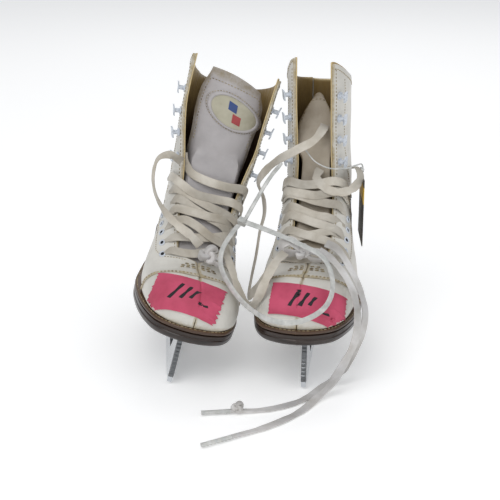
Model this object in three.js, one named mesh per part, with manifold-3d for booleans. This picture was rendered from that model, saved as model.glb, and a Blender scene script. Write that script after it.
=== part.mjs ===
// A tied pair of children's figure skates, standing on their blades, the right boot leaning on the left one.
// Units are millimetres, +Z is up and the toes point along -Y. Each boot is built in its own frame:
// x across, y along the sole with the toe at -y, z up from the ice. The right boot is at -X.
import * as THREE from "three";
import { mergeVertices } from "three/addons/utils/BufferGeometryUtils.js";
import Module from "manifold-3d";

const wasm = await Module();
wasm.setup();

// ---- Driving dimensions -------------------------------------------------------------------------
const LEATHER = 2.4; // upper leather with its lining
const GAP = 0.4; // left between touching pieces
const SEAM = 0.25; // half the gap between two upper panels
const SOLE_FRONT = 54; // feather line above the ice at the ball of the foot
const HEEL_RISE = 16; // how much higher the feather line is at the heel
const WELT = 3; // welt thickness
const SOLE = 12; // welt and outsole together
const HEEL_BOTTOM = 48; // underside of the heel block
const PLATE = 2; // thickness of the steel mounting plates
const BLADE = 3.8; // blade thickness
const TOE_BEND = 5; // how far the toe turns to the inner side
const EYELET_ROWS = 5;
const EYELET_FIRST = 5.35; // station of the lowest eyelet
const EYELET_STEP = 0.5; // stations between two eyelets
const EYELET_INSET = 11; // from the facing edge to an eyelet's centre
const HOOK_STATIONS = [9.2, 10.35, 11.4, 12.2];
const HOOK_INSET = 4;
const HOOK_REACH = 6.5; // how far a hook stands off the leather
const LACE_WIDTH = 7;
const LACE_THICKNESS = 1.4;
const LACE_TUBE = 2; // radius of a free stretch of lace
const AGLET_TUBE = 1.7;
const TIE_TUBE = 1.4; // radius of the cable tie's strap
const TAG_TUBE = 0.7; // radius of the tag's fastener
const TONGUE_DEPTH = 3.2; // tongue face below the facing edges
const TONGUE_THICKNESS = 4;
const TONGUE_SPLIT = 9.2; // station where the free part of the tongue begins
const COLLAR = 13; // last station

// The pair's place in the frame: the middle of its box is over the origin.
const PAIR_OFFSET = [0.1, -3.2, 0];

// Each boot: where it stands, how it turns (degrees), which way its inner side is, what is added to half its
// facing gap, and how far each facing spreads outwards and over how many stations.
const BOOTS = {
  right: {
    at: [-69.8, 10.2, 0.52], yaw: 4.1, roll: 15.8, inner: 1, open: 2,
    spread: { inner: [19, 5.5], outer: [26, 8] },
  },
  left: {
    at: [52.9, 1.3, 0], yaw: -7.7, roll: 0, inner: -1, open: 0,
    spread: { inner: [2, 8], outer: [-4, 8] },
  },
};

// Stations of the last, from the toe (0) over the instep to the collar (13). top is the front or upper
// centre line and low the sole or back centre line, each [y, z]. half is the half width, wide is where it
// falls between top (0) and low (1), and n holds the roundness of the two ends (2 is an ellipse).
const LAST = [
  { top: [-100, 64], low: [-99, 55], half: 0.3, wide: 0.6, n: [2.2, 3] },
  { top: [-98, 71.5], low: [-97.5, 54], half: 14, wide: 0.62, n: [2.2, 3.5] },
  { top: [-92, 77.5], low: [-92, 53.5], half: 25, wide: 0.66, n: [2.2, 4.5] },
  { top: [-80, 82], low: [-81, 53], half: 33, wide: 0.68, n: [2.2, 5] },
  { top: [-64, 85], low: [-66, 53], half: 37, wide: 0.7, n: [2.3, 5] },
  { top: [-45, 88], low: [-47, 53], half: 38.5, wide: 0.72, n: [2.3, 5] },
  { top: [-27, 105], low: [-24, 52], half: 37.5, wide: 0.74, n: [2.2, 5] },
  { top: [-12, 126], low: [5, 55.5], half: 33, wide: 0.72, n: [2.1, 4.5] },
  { top: [-3, 148], low: [42, 63.5], half: 29, wide: 0.62, n: [2.1, 4.2] },
  { top: [-1, 165], low: [87, 68.5], half: 26.5, wide: 0.52, n: [2.1, 4] },
  { top: [-1, 179], low: [97, 95], half: 26, wide: 0.5, n: [2.1, 2.9] },
  { top: [-1, 193], low: [92, 128], half: 25.5, wide: 0.5, n: [2.1, 2.3] },
  { top: [-2, 209], low: [87, 165], half: 25, wide: 0.48, n: [2.1, 2.3] },
  { top: [-5, 241], low: [86, 206], half: 25, wide: 0.46, n: [2.2, 2.4] },
];
// Half the gap between the facings at each station from the throat (5) up.
const FACING_GAP = [14, 15.5, 16, 15.5, 15, 15, 15, 15, 14.5];

// Sole outline: [y, half width], toe to heel.
const SOLE_OUTLINE = [
  [-102.5, 0], [-100.5, 12], [-94, 24], [-83, 32.5], [-66, 38.5], [-45, 41], [-22, 41], [2, 36.5], [25, 30],
  [45, 28], [66, 28.5], [82, 26.5], [92, 20], [97.5, 11], [99.5, 0],
];

const COLOUR = {
  leather: [0xe6e3da, 0.45, 0],
  lining: [0xc8ad7c, 0.8, 0],
  sole: [0x3b281c, 0.35, 0],
  welt: [0x6b4a2f, 0.5, 0],
  steel: [0xc9cdd2, 0.2, 1],
  coated: [0xe4e8ee, 0.35, 0],
  lace: [0xd9d3c4, 0.9, 0],
  tape: [0xd9577f, 0.5, 0],
  nylon: [0xe9eae4, 0.3, 0],
  tag: [0x2b2622, 0.6, 0],
  badge: [0xa8a486, 0.5, 0],
};

// ---- Small helpers ------------------------------------------------------------------------------
const V = (x, y, z) => new THREE.Vector3(x, y, z);
const lerp = THREE.MathUtils.lerp;
const clamp = THREE.MathUtils.clamp;
const smooth = (t) => THREE.MathUtils.smoothstep(t, 0, 1);

function material(key) {
  const [color, roughness, metalness] = COLOUR[key];
  return new THREE.MeshStandardMaterial({ color, roughness, metalness });
}

function piece(name, geometry, key) {
  const mesh = new THREE.Mesh(geometry, material(key));
  mesh.name = name;
  return mesh;
}

// Smooth value at t through a list of evenly spaced values.
function spline(values, t) {
  const last = values.length - 1;
  const i = clamp(Math.floor(t), 0, last - 1);
  const u = t - i;
  const [a, b, c, d] = [-1, 0, 1, 2].map((k) => values[clamp(i + k, 0, last)]);
  return 0.5 * (2 * b + (c - a) * u + (2 * a - 5 * b + 4 * c - d) * u * u + (3 * b - a - 3 * c + d) * u ** 3);
}

const tracks = {
  topY: LAST.map((p) => p.top[0]),
  topZ: LAST.map((p) => p.top[1]),
  lowY: LAST.map((p) => p.low[0]),
  lowZ: LAST.map((p) => p.low[1]),
  half: LAST.map((p) => p.half),
  wide: LAST.map((p) => p.wide),
  nTop: LAST.map((p) => p.n[0]),
  nLow: LAST.map((p) => p.n[1]),
};
const at = (track, s) => spline(tracks[track], s);

// The feather line, where upper meets sole, rises from the ball to the heel.
function featherZ(y) {
  const spring = 1.2 * smooth((-85 - y) / 18);
  return SOLE_FRONT + HEEL_RISE * smooth((y + 22) / 70) + spring;
}

// The toe turns towards the inner side.
const bendX = (boot, y) => boot.inner * TOE_BEND * smooth((-15 - y) / 85);

// A point of the last: station s, angle a from the top centre line (0) to the low one (PI), negative on -x.
function lastPoint(boot, s, a) {
  const side = a < 0 ? -1 : 1;
  const t = Math.abs(a);
  const wide = at("wide", s);
  const front = t <= Math.PI / 2;
  const power = 2 / at(front ? "nTop" : "nLow", s);
  const rise = Math.abs(Math.cos(t)) ** power;
  const q = front ? wide * (1 - rise) : wide + (1 - wide) * rise;
  const [amount, span] = side === boot.inner ? boot.spread.inner : boot.spread.outer;
  const spread = amount * smooth((s - 5) / span) * (1 - q) ** 2;
  const x = side * (Math.max(at("half", s), 0.3) * Math.abs(Math.sin(t)) ** power + spread);
  const y = lerp(at("topY", s), at("lowY", s), q);
  const z = lerp(at("topZ", s), at("lowZ", s), q);
  return V(x + bendX(boot, y), y, z);
}

function lastNormal(boot, s, a) {
  const ds = 0.02;
  const da = 0.02 * (a < 0 ? -1 : 1);
  const p = lastPoint(boot, s, a);
  const alongS = lastPoint(boot, s + ds, a).sub(p);
  const alongA = lastPoint(boot, s, a + da).sub(p);
  const normal = alongS.cross(alongA).normalize();
  const middle = V(0, (at("topY", s) + at("lowY", s)) / 2, (at("topZ", s) + at("lowZ", s)) / 2);
  return normal.dot(p.sub(middle)) < 0 ? normal.negate() : normal;
}

const skin = (boot, s, a, depth) => lastPoint(boot, s, a).addScaledVector(lastNormal(boot, s, a), -depth);

// Angle at which the front half of station s is x away from the centre line, before the facings spread.
function angleAt(s, x) {
  return Math.asin(clamp(x / at("half", s), 0, 1) ** (at("nTop", s) / 2));
}

// Angle at which station s meets the feather line.
function featherAngle(boot, s) {
  let low = Math.PI / 2;
  let high = Math.PI * 0.98;
  for (let i = 0; i < 24; i += 1) {
    const mid = (low + high) / 2;
    const p = lastPoint(boot, s, mid);
    if (p.z > featherZ(p.y) + GAP) low = mid;
    else high = mid;
  }
  return low;
}

// A closed sheet between two faces given on a grid: face(u, v, side) with side 0 outer and 1 inner.
function sheet(nu, nv, face) {
  const positions = [];
  const index = [];
  const id = (side, i, j) => (side * (nu + 1) + i) * (nv + 1) + j;
  for (const side of [0, 1]) {
    for (let i = 0; i <= nu; i += 1) {
      for (let j = 0; j <= nv; j += 1) positions.push(...face(i / nu, j / nv, side).toArray());
    }
  }
  const quad = (a, b, c, d) => index.push(a, b, c, a, c, d);
  for (let i = 0; i < nu; i += 1) {
    for (let j = 0; j < nv; j += 1) {
      quad(id(0, i, j), id(0, i + 1, j), id(0, i + 1, j + 1), id(0, i, j + 1));
      quad(id(1, i, j), id(1, i, j + 1), id(1, i + 1, j + 1), id(1, i + 1, j));
    }
    quad(id(0, i, 0), id(1, i, 0), id(1, i + 1, 0), id(0, i + 1, 0));
    quad(id(0, i, nv), id(0, i + 1, nv), id(1, i + 1, nv), id(1, i, nv));
  }
  for (let j = 0; j < nv; j += 1) {
    quad(id(0, 0, j), id(0, 0, j + 1), id(1, 0, j + 1), id(1, 0, j));
    quad(id(0, nu, j), id(1, nu, j), id(1, nu, j + 1), id(0, nu, j + 1));
  }
  return facingOut(positions, index);
}

// A geometry from triangles that may all face inwards: they are turned over where the volume is negative.
function facingOut(positions, index) {
  let volume = 0;
  const p = (k) => V(positions[3 * k], positions[3 * k + 1], positions[3 * k + 2]);
  for (let i = 0; i < index.length; i += 3) volume += p(index[i]).dot(p(index[i + 1]).cross(p(index[i + 2])));
  const turned = [];
  for (let i = 0; i < index.length; i += 3) turned.push(index[i], index[i + 2], index[i + 1]);
  const geometry = new THREE.BufferGeometry();
  geometry.setAttribute("position", new THREE.Float32BufferAttribute(positions, 3));
  geometry.setIndex(volume < 0 ? turned : index);
  return geometry;
}

function toSolid(geometry) {
  const plain = geometry.clone();
  plain.deleteAttribute("normal");
  plain.deleteAttribute("uv");
  const merged = mergeVertices(plain, 1e-3);
  const mesh = new wasm.Mesh({
    numProp: 3,
    vertProperties: new Float32Array(merged.attributes.position.array),
    triVerts: new Uint32Array(merged.index.array),
  });
  return new wasm.Manifold(mesh);
}

function joined(geometries) {
  const solid = geometries.map(toSolid).reduce((whole, next) => whole.add(next));
  const { vertProperties, triVerts } = solid.getMesh();
  const geometry = new THREE.BufferGeometry();
  geometry.setAttribute("position", new THREE.Float32BufferAttribute(vertProperties, 3));
  geometry.setIndex(Array.from(triVerts));
  return geometry;
}

// ---- Upper: vamp, quarters and backstay -----------------------------------------------------------
// The vamp's back seam runs from just ahead of the throat down and back to the feather line.
const vampSeam = (t) => 4.3 + 1.1 * t ** 1.5;

function vamp(boot) {
  return sheet(18, 9, (u, v, side) => {
    const across = 2 * u - 1;
    const s = lerp(0, vampSeam(Math.abs(across)) - 0.02, v ** 1.3);
    return skin(boot, s, across * featherAngle(boot, s), side * LEATHER);
  });
}

const facingHalf = (boot, s) => spline(FACING_GAP, clamp(s - 5, 0, 8)) + boot.open * smooth((11 - s) / 4);

// Where a quarter starts at station s: at the centre seam below the throat, then at the facing edge.
function facingAngle(boot, s) {
  const open = smooth((s - 4.95) / 0.3);
  return angleAt(s, SEAM + (facingHalf(boot, s) - SEAM) * open);
}

// Where a quarter ends: at the feather line, then at the backstay's edge up the heel and shaft.
const BACKSTAY_HALF = 10;
const BACKSTAY_START = 9.12;
function rearAngle(boot, s) {
  const edge = Math.PI - Math.asin(clamp(BACKSTAY_HALF / at("half", s), 0, 1) ** (at("nLow", s) / 2));
  return Math.min(featherAngle(boot, Math.min(s, 9)), edge);
}

// The collar dips behind each facing's peak.
const collarStation = (t) => COLLAR - 0.5 * Math.sin(Math.PI * t ** 0.6);

function quarter(boot, side) {
  return sheet(9, 22, (u, v, inner) => {
    const start = vampSeam(u) + 0.02;
    const s = lerp(start, collarStation(u), v);
    const a = lerp(facingAngle(boot, s), rearAngle(boot, s) - 0.02, u);
    return skin(boot, s, side * a, inner * LEATHER);
  });
}

function backstay(boot) {
  return sheet(4, 14, (u, v, inner) => {
    const s = lerp(BACKSTAY_START, COLLAR, v);
    const edge = rearAngle(boot, s) + 0.02;
    const across = 2 * u - 1;
    const a = across < 0 ? -lerp(Math.PI, edge, -across) : lerp(Math.PI, edge, across);
    return skin(boot, s, a, inner * LEATHER);
  });
}

// ---- Tongue -------------------------------------------------------------------------------------
// Flat between the facings and following them beyond their edges.
function tonguePoint(boot, s, x, depth) {
  const half = facingHalf(boot, s);
  const inwards = ([amount, span]) => [Math.min(amount, 0), span];
  const closed = { ...boot, spread: { inner: inwards(boot.spread.inner), outer: inwards(boot.spread.outer) } };
  const side = x < 0 ? -1 : 1;
  const p = skin(closed, s, side * angleAt(s, Math.max(Math.abs(x), half)), depth);
  const centre = bendX(boot, p.y);
  if (Math.abs(x) < half) p.x = centre + ((p.x - centre) * Math.abs(x)) / half;
  return p;
}

function tongueBase(boot) {
  return sheet(8, 12, (u, v, inner) => {
    const s = lerp(4.75, TONGUE_SPLIT, v);
    const half = lerp(15, 19, v);
    return tonguePoint(boot, s, (2 * u - 1) * half, TONGUE_DEPTH + inner * TONGUE_THICKNESS);
  });
}

// The free part: a centre line that starts above the split and leans back by an angle that grows along it.
const TONGUES = {
  right: { lean: [-4, 6], length: 64, half: [24, 25.5, 27, 26.5, 21.5], bow: 9, slope: -7, shift: 0, gap: 2 },
  left: { lean: [30, 48], length: 49, half: [12, 14, 13.5, 10, 4.5], bow: 5, slope: 0, shift: -2, gap: 4.5 },
};
const FLAP_THICKNESS = 3.6;
const FLAP_HALF = 26; // half width that bow and slope are given at
const FLAP_CROWN = 3;

// A point of the flap v of the way up, x from its middle and some depth behind its face.
function flapPoint(boot, spec, v, x, depth) {
  const steps = 24;
  const lean = (t) => THREE.MathUtils.degToRad(lerp(spec.lean[0], spec.lean[1], t));
  const p = tonguePoint(boot, TONGUE_SPLIT, 0, TONGUE_DEPTH).add(V(0, 0, spec.gap));
  for (let i = 0; i < steps; i += 1) {
    const angle = lean(((i + 0.5) / steps) * v);
    p.add(V(0, Math.sin(angle), Math.cos(angle)).multiplyScalar((spec.length * v) / steps));
  }
  const angle = lean(v);
  const back = V(0, Math.cos(angle), -Math.sin(angle));
  const half = spline(spec.half, v * (spec.half.length - 1));
  const crown = v ** 3 * (FLAP_CROWN * (1 - (x / half) ** 2) + (spec.slope * x) / FLAP_HALF);
  p.addScaledVector(back, spec.bow * (x / FLAP_HALF) ** 2 + depth);
  return p.add(V(x + spec.shift, 0, crown));
}

function tongueFlap(boot, spec) {
  return sheet(8, 10, (u, v, inner) => {
    const x = (2 * u - 1) * spline(spec.half, v * (spec.half.length - 1));
    return flapPoint(boot, spec, v, x, inner * FLAP_THICKNESS);
  });
}

// An oval panel on the flap's face, tilted like the real one.
const BADGE = { at: 0.58, shift: 4, half: [21, 14.5], tilt: -14, thickness: 0.9 };
function badge(boot, spec) {
  const tilt = THREE.MathUtils.degToRad(BADGE.tilt);
  return sheet(4, 14, (u, v, inner) => {
    const along = Math.cos(Math.PI * (1 - v) * 0.96 + Math.PI * 0.02);
    const across = (2 * u - 1) * Math.sqrt(1 - along ** 2);
    const turned = along * BADGE.half[0] * Math.cos(tilt) - across * BADGE.half[1] * Math.sin(tilt);
    const up = along * BADGE.half[0] * Math.sin(tilt) + across * BADGE.half[1] * Math.cos(tilt);
    const depth = -GAP - (inner ? 0 : BADGE.thickness);
    return flapPoint(boot, spec, BADGE.at + up / spec.length, BADGE.shift + turned, depth);
  });
}

// ---- Sole, heel, plates and blade -------------------------------------------------------------------
const outlineHalf = (t) => Math.max(spline(SOLE_OUTLINE.map((p) => p[1]), t), 0.4);
const outlineY = (t) => spline(SOLE_OUTLINE.map((p) => p[0]), t);

// A layer of the sole between two heights that follow y, inset from the outline, from one y to another.
function layer(boot, inset, low, high, from = -200, to = 200) {
  const steps = 28;
  const ends = SOLE_OUTLINE.length - 1;
  return sheet(2, steps, (u, v, side) => {
    const t = v * ends;
    const y = clamp(outlineY(t) * (1 - inset / 60), from, to);
    let station = t;
    if (outlineY(t) * (1 - inset / 60) < from || outlineY(t) * (1 - inset / 60) > to) {
      station = nearestOutline(y / (1 - inset / 60));
    }
    const half = Math.max(outlineHalf(station) - inset, 0.3);
    const step = clamp(v * steps, 0, steps);
    const spread = y === from || y === to ? (step - steps / 2) * 0.002 : 0;
    return V(bendX(boot, y) + (2 * u - 1) * half, y + spread, side ? low(y) : high(y));
  });
}

function nearestOutline(y) {
  let low = 0;
  let high = SOLE_OUTLINE.length - 1;
  for (let i = 0; i < 30; i += 1) {
    const mid = (low + high) / 2;
    if (outlineY(mid) < y) low = mid;
    else high = mid;
  }
  return low;
}

// A plate with a rounded front and a tail, from points of its half outline [y, half width].
function plate(points, bottom) {
  const shape = new THREE.Shape();
  points.forEach(([y, x], i) => (i ? shape.lineTo(x, y) : shape.moveTo(x, y)));
  [...points].reverse().forEach(([y, x]) => shape.lineTo(-x, y));
  shape.closePath();
  const geometry = new THREE.ExtrudeGeometry(shape, { depth: PLATE, bevelEnabled: false });
  return geometry.translate(0, 0, bottom);
}

const TOE_PLATE_Z = SOLE_FRONT - SOLE - GAP - PLATE;
const HEEL_PLATE_Z = HEEL_BOTTOM - GAP - PLATE;
const TOE_PLATE = [[-90, 5], [-87, 12], [-78, 17.5], [-62, 20], [-46, 17], [-34, 9], [-30, 4]];
const HEEL_PLATE = [[50, 6], [55, 12], [66, 15], [80, 15], [88, 11], [92, 5]];

// The blade in one sheet: toe pick, flat-bottomed runner and two posts up to the plates.
function blade() {
  const front = TOE_PLATE_Z - GAP;
  const rear = HEEL_PLATE_Z - GAP;
  const shape = new THREE.Shape();
  shape.moveTo(-82, front);
  shape.quadraticCurveTo(-85.5, 24, -89, 11);
  shape.lineTo(-87.5, 1.5);
  shape.lineTo(-84.5, 5.5);
  shape.lineTo(-82.5, 2.2);
  shape.lineTo(-80, 5);
  shape.lineTo(-78, 2.2);
  shape.lineTo(-74, 1.2);
  shape.lineTo(-50, 0.35);
  shape.lineTo(-30, 0);
  shape.lineTo(50, 0);
  shape.lineTo(75, 0.4);
  shape.lineTo(100, 1.6);
  shape.quadraticCurveTo(106, 4, 104, 9);
  shape.lineTo(101, 12);
  shape.lineTo(88, 13);
  shape.quadraticCurveTo(84, 24, 87, rear);
  shape.lineTo(56, rear);
  shape.quadraticCurveTo(60, 22, 50, 13);
  shape.lineTo(-48, 13);
  shape.quadraticCurveTo(-59, 22, -55, front);
  shape.closePath();
  const geometry = new THREE.ExtrudeGeometry(shape, { depth: BLADE, bevelEnabled: false, curveSegments: 5 });
  geometry.translate(0, 0, -BLADE / 2);
  return geometry.applyMatrix4(new THREE.Matrix4().makeBasis(V(0, 1, 0), V(0, 0, 1), V(1, 0, 0)));
}

// ---- Lace hooks ------------------------------------------------------------------------------------
function hook(boot, side, s) {
  const a = side * angleAt(s, facingHalf(boot, s) + HOOK_INSET);
  const foot = skin(boot, s, a, -GAP);
  const profile = [[0, 0], [3.4, 0], [3.4, 0.9], [1.7, 1.3], [1.7, 4.4], [4, 5.2], [4, HOOK_REACH], [0, HOOK_REACH]];
  const geometry = new THREE.LatheGeometry(profile.map(([x, y]) => new THREE.Vector2(x, y)), 8);
  const mesh = piece("hook", geometry, "coated");
  mesh.quaternion.setFromUnitVectors(V(0, 1, 0), lastNormal(boot, s, a));
  mesh.position.copy(foot);
  return mesh;
}

// ---- Lacing over the facings ------------------------------------------------------------------------
// A flat strap through points, each { p, up }, of the lace's width and thickness.
function strap(points, width = LACE_WIDTH, thickness = LACE_THICKNESS) {
  const last = points.length - 1;
  return sheet(1, last, (u, v, side) => {
    const i = Math.round(v * last);
    const ahead = points[Math.min(i + 1, last)].p;
    const behind = points[Math.max(i - 1, 0)].p;
    const along = ahead.clone().sub(behind).normalize();
    const across = along.clone().cross(points[i].up).normalize();
    const up = across.clone().cross(along);
    const offset = (side ? -0.5 : 0.5) * thickness;
    return points[i].p.clone().addScaledVector(across, (u - 0.5) * width).addScaledVector(up, offset);
  });
}

const eyeletStation = (row) => EYELET_FIRST + row * EYELET_STEP;

function strand(boot, from, to) {
  const rest = LACE_THICKNESS / 2 + GAP + 0.8;
  const on = (s, side, inset) => {
    const a = side * angleAt(s, facingHalf(boot, s) + inset);
    return { p: skin(boot, s, a, -rest), up: lastNormal(boot, s, a) };
  };
  const s = (t) => lerp(from.s, to.s, t);
  return strap([
    on(s(0), from.side, EYELET_INSET),
    on(s(0.12), from.side, EYELET_INSET / 2),
    on(s(0.25), from.side, 0),
    on(s(0.75), to.side, 0),
    on(s(0.88), to.side, EYELET_INSET / 2),
    on(s(1), to.side, EYELET_INSET),
  ]);
}

function lacing(boot) {
  const strands = [strand(boot, { s: eyeletStation(0), side: -1 }, { s: eyeletStation(0), side: 1 })];
  for (let row = 0; row + 1 < EYELET_ROWS; row += 1) {
    for (const side of [-1, 1]) {
      const from = { s: eyeletStation(row), side };
      strands.push(strand(boot, from, { s: eyeletStation(row + 1), side: -side }));
    }
  }
  return joined(strands);
}

// ---- Tape label ---------------------------------------------------------------------------------
// A grid in a plane that faces forwards and up is cast onto the vamp, so the label follows the toe.
function tape(boot, vampMesh, spec) {
  const caster = new THREE.Raycaster();
  const aim = V(0, Math.SQRT1_2, -Math.SQRT1_2);
  const down = V(0, -Math.SQRT1_2, -Math.SQRT1_2);
  vampMesh.material.side = THREE.DoubleSide;
  return sheet(14, 8, (u, v, side) => {
    const start = V(spec.x + (u - 0.5) * spec.width + bendX(boot, -85), -80, 80);
    start.addScaledVector(down, spec.down + (v - 0.5) * spec.height + spec.slant * (u - 0.5));
    caster.set(start.addScaledVector(aim, -60), aim);
    const hit = caster.intersectObject(vampMesh)[0];
    if (!hit) throw new Error("the label misses the toe");
    return hit.point.addScaledVector(aim, -(side ? 0.9 : 1.6));
  });
}

const TAPES = {
  right: { x: -2, width: 52, height: 26, down: 3, slant: 6 },
  left: { x: 3, width: 54, height: 25, down: 3, slant: 3 },
};

// ---- Free laces, cable tie and tag ------------------------------------------------------------------
// Routes in the pair's frame, each a list of points that the stretch runs through.
const ROUTES = {
  lace_loop_right: [
    [-55, 14, 154], [-64, 8, 161], [-73, 4, 159], [-77, 0, 148], [-76, -4, 134], [-69, -10, 121],
    [-57, -20, 111], [-46, -28, 105], [-39, -34, 99],
  ],
  lace_hang_front: [
    [-25, -38, 94], [-19, -42, 94], [-15, -48, 87], [-11, -56, 77], [-5, -66, 67], [1, -76, 66], [6, -80, 74],
    [10, -78, 83], [15, -70, 91], [21, -62, 98], [27, -55, 101],
  ],
  lace_cross: [
    [60, 17, 183], [58, 9, 182], [50, -1, 175], [36, -4, 168], [21, 0, 158], [10, 10, 144], [7, 21, 132],
    [11, 23, 121], [12, 15, 110], [8, 6, 96], [5, -7, 81], [1, -21, 66], [-1, -34, 58], [0, -46, 62],
    [5, -58, 73], [12, -63, 84], [18, -59, 92],
  ],
  lace_tail_a: [
    [59, -42, 104], [67, -46, 101], [77, -54, 88], [84, -66, 75], [88, -72, 59], [85, -77, 40], [76, -80, 22],
    [67, -80, 8], [54, -89, 2.6], [39, -106, 2.6], [21, -117, 2.6], [1, -123, 2.6], [-15, -125, 2.6],
  ],
  lace_tail_b: [
    [53, -47, 100], [62, -54, 96], [71, -64, 88], [78, -77, 77], [81, -85, 62], [79, -90, 43], [70, -94, 24],
    [60, -97, 8], [49, -107, 2.6], [35, -126, 2.6], [16, -143, 2.6], [0, -154, 2.6], [-14, -163, 2.6],
  ],
  lace_loop_left: [
    [56, 2, 151], [53, -1, 145], [59, -6, 138], [72, -6, 134], [83, 0, 136], [89, 8, 143], [86, 13, 149],
    [82, 17, 148],
  ],
};
const AGLETS = {
  aglet_a: [[-16, -125.1, 2.6], [-36, -127.6, 2.6]],
  aglet_b: [[-14.8, -163.6, 2.6], [-34, -174, 2.6]],
};
const TIE_LOOP = [
  [-1, -25, 116], [16, -37, 112], [39, -53, 107], [56, -61, 99], [62, -82, 86], [55, -100, 75], [37, -107, 67],
  [18, -102, 65], [0, -84, 67], [-13, -69, 76], [-22, -54, 88], [-22, -47, 99], [-14, -35, 110],
];
const TIE_HEAD = [-6, -25, 116];
const TIE_JOIN = [[-14, -35, 110], [-9, -28, 114], [-1, -25, 116]];
const TIE_TAIL = [[-4, -24, 117], [7, -14, 134], [17, -9, 149], [25, -12, 160]];
const TAG = { size: [0.7, 40, 56], at: [92, 22, 113], turn: -1 };
const TAG_FASTENER = [[44, 5, 166], [52, -2, 158], [63, -6, 154], [76, -3, 155], [85, 9, 157],
  [91, 18, 153], [92.6, 21, 143]];

// A round tube through points, with a step every two and a half diameters.
function tube(points, radius, sides = 8) {
  const route = new THREE.CatmullRomCurve3(points.map((p) => V(...p)), false, "centripetal");
  const section = new THREE.Shape();
  for (let i = 0; i < sides; i += 1) {
    const angle = (2 * Math.PI * i) / sides;
    const x = radius * Math.cos(angle);
    const y = radius * Math.sin(angle);
    if (i) section.lineTo(x, y);
    else section.moveTo(x, y);
  }
  const steps = Math.max(2, Math.round(route.getLength() / (5 * radius)));
  return new THREE.ExtrudeGeometry(section, { steps, extrudePath: route, bevelEnabled: false });
}

function addLooseParts(group) {
  for (const [name, route] of Object.entries(ROUTES)) group.add(piece(name, tube(route, LACE_TUBE), "lace"));
  for (const [name, route] of Object.entries(AGLETS)) group.add(piece(name, tube(route, AGLET_TUBE), "nylon"));
  const knots = { right_knot: [[-32, -36, 92], [6, 5, 5.5]], left_knot: [[42, -46, 99], [9, 5.5, 6]] };
  for (const [name, [place, size]] of Object.entries(knots)) {
    const knot = new THREE.SphereGeometry(1, 12, 8).scale(...size).translate(...place);
    group.add(piece(name, knot, "lace"));
  }
  const head = new THREE.BoxGeometry(7, 5.5, 6).translate(...TIE_HEAD);
  const tie = joined([tube(TIE_LOOP, TIE_TUBE), head, tube(TIE_TAIL, TIE_TUBE), tube(TIE_JOIN, TIE_TUBE)]);
  group.add(piece("cable_tie", tie, "nylon"));
  const tag = piece("left_hang_tag", new THREE.BoxGeometry(...TAG.size), "tag");
  tag.position.set(...TAG.at);
  tag.rotation.z = THREE.MathUtils.degToRad(TAG.turn);
  group.add(tag);
  group.add(piece("left_tag_fastener", tube(TAG_FASTENER, TAG_TUBE), "nylon"));
}

// ---- One boot -----------------------------------------------------------------------------------
function buildBoot(name, boot) {
  const group = new THREE.Group();
  const add = (label, geometry, key) => {
    const mesh = piece(name + "_" + label, geometry, key);
    group.add(mesh);
    return mesh;
  };
  const vampMesh = add("vamp", vamp(boot), "leather");
  add("quarter_inner", quarter(boot, boot.inner), "leather");
  add("quarter_outer", quarter(boot, -boot.inner), "leather");
  add("backstay", backstay(boot), "leather");
  add("tongue_base", tongueBase(boot), "leather");
  add("tongue", tongueFlap(boot, TONGUES[name]), "leather");
  if (name === "right") add("tongue_badge", badge(boot, TONGUES[name]), "badge");
  add("footbed", layer(boot, 13, (y) => featherZ(y) + GAP, (y) => featherZ(y) + 2.6), "lining");
  add("welt", layer(boot, 0, (y) => featherZ(y) - WELT, (y) => featherZ(y)), "welt");
  add("outsole", layer(boot, 0.5, (y) => featherZ(y) - SOLE, (y) => featherZ(y) - WELT - GAP), "sole");
  add("heel", layer(boot, 1.5, () => HEEL_BOTTOM, (y) => featherZ(y) - SOLE - GAP, 46, 96), "sole");
  add("toe_plate", plate(TOE_PLATE, TOE_PLATE_Z).translate(bendX(boot, -85) / 2, 0, 0), "steel");
  add("heel_plate", plate(HEEL_PLATE, HEEL_PLATE_Z), "steel");
  add("blade", blade(), "steel");
  for (const side of [-1, 1]) {
    HOOK_STATIONS.forEach((s, i) => {
      const mesh = hook(boot, side, s);
      mesh.name = name + "_hook_" + (side === boot.inner ? "inner_" : "outer_") + (i + 1);
      group.add(mesh);
    });
  }
  add("lacing", lacing(boot), "lace");
  add("tape_label", tape(boot, vampMesh, TAPES[name]), "tape");
  const turn = THREE.MathUtils.degToRad;
  group.rotation.set(0, turn(boot.roll), turn(boot.yaw), "ZYX");
  group.position.set(...boot.at);
  return group;
}

// ---- The pair -----------------------------------------------------------------------------------
const pair = new THREE.Group();
for (const [name, boot] of Object.entries(BOOTS)) pair.add(buildBoot(name, boot));
addLooseParts(pair);
pair.position.set(...PAIR_OFFSET);
const scene = new THREE.Group();
scene.add(pair);
export default scene;
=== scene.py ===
# A tied pair of children's figure skates, used, on a pale studio floor. Metres, +Z up, toes along -Y; the
# wearer's right skate is at -X and leans towards the left one. Shapes are worked out in millimetres in each
# boot's own frame and then put in their place in the pair.
import math
import bpy
import numpy as np
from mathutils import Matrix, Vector, noise
from mathutils.bvhtree import BVHTree


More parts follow.
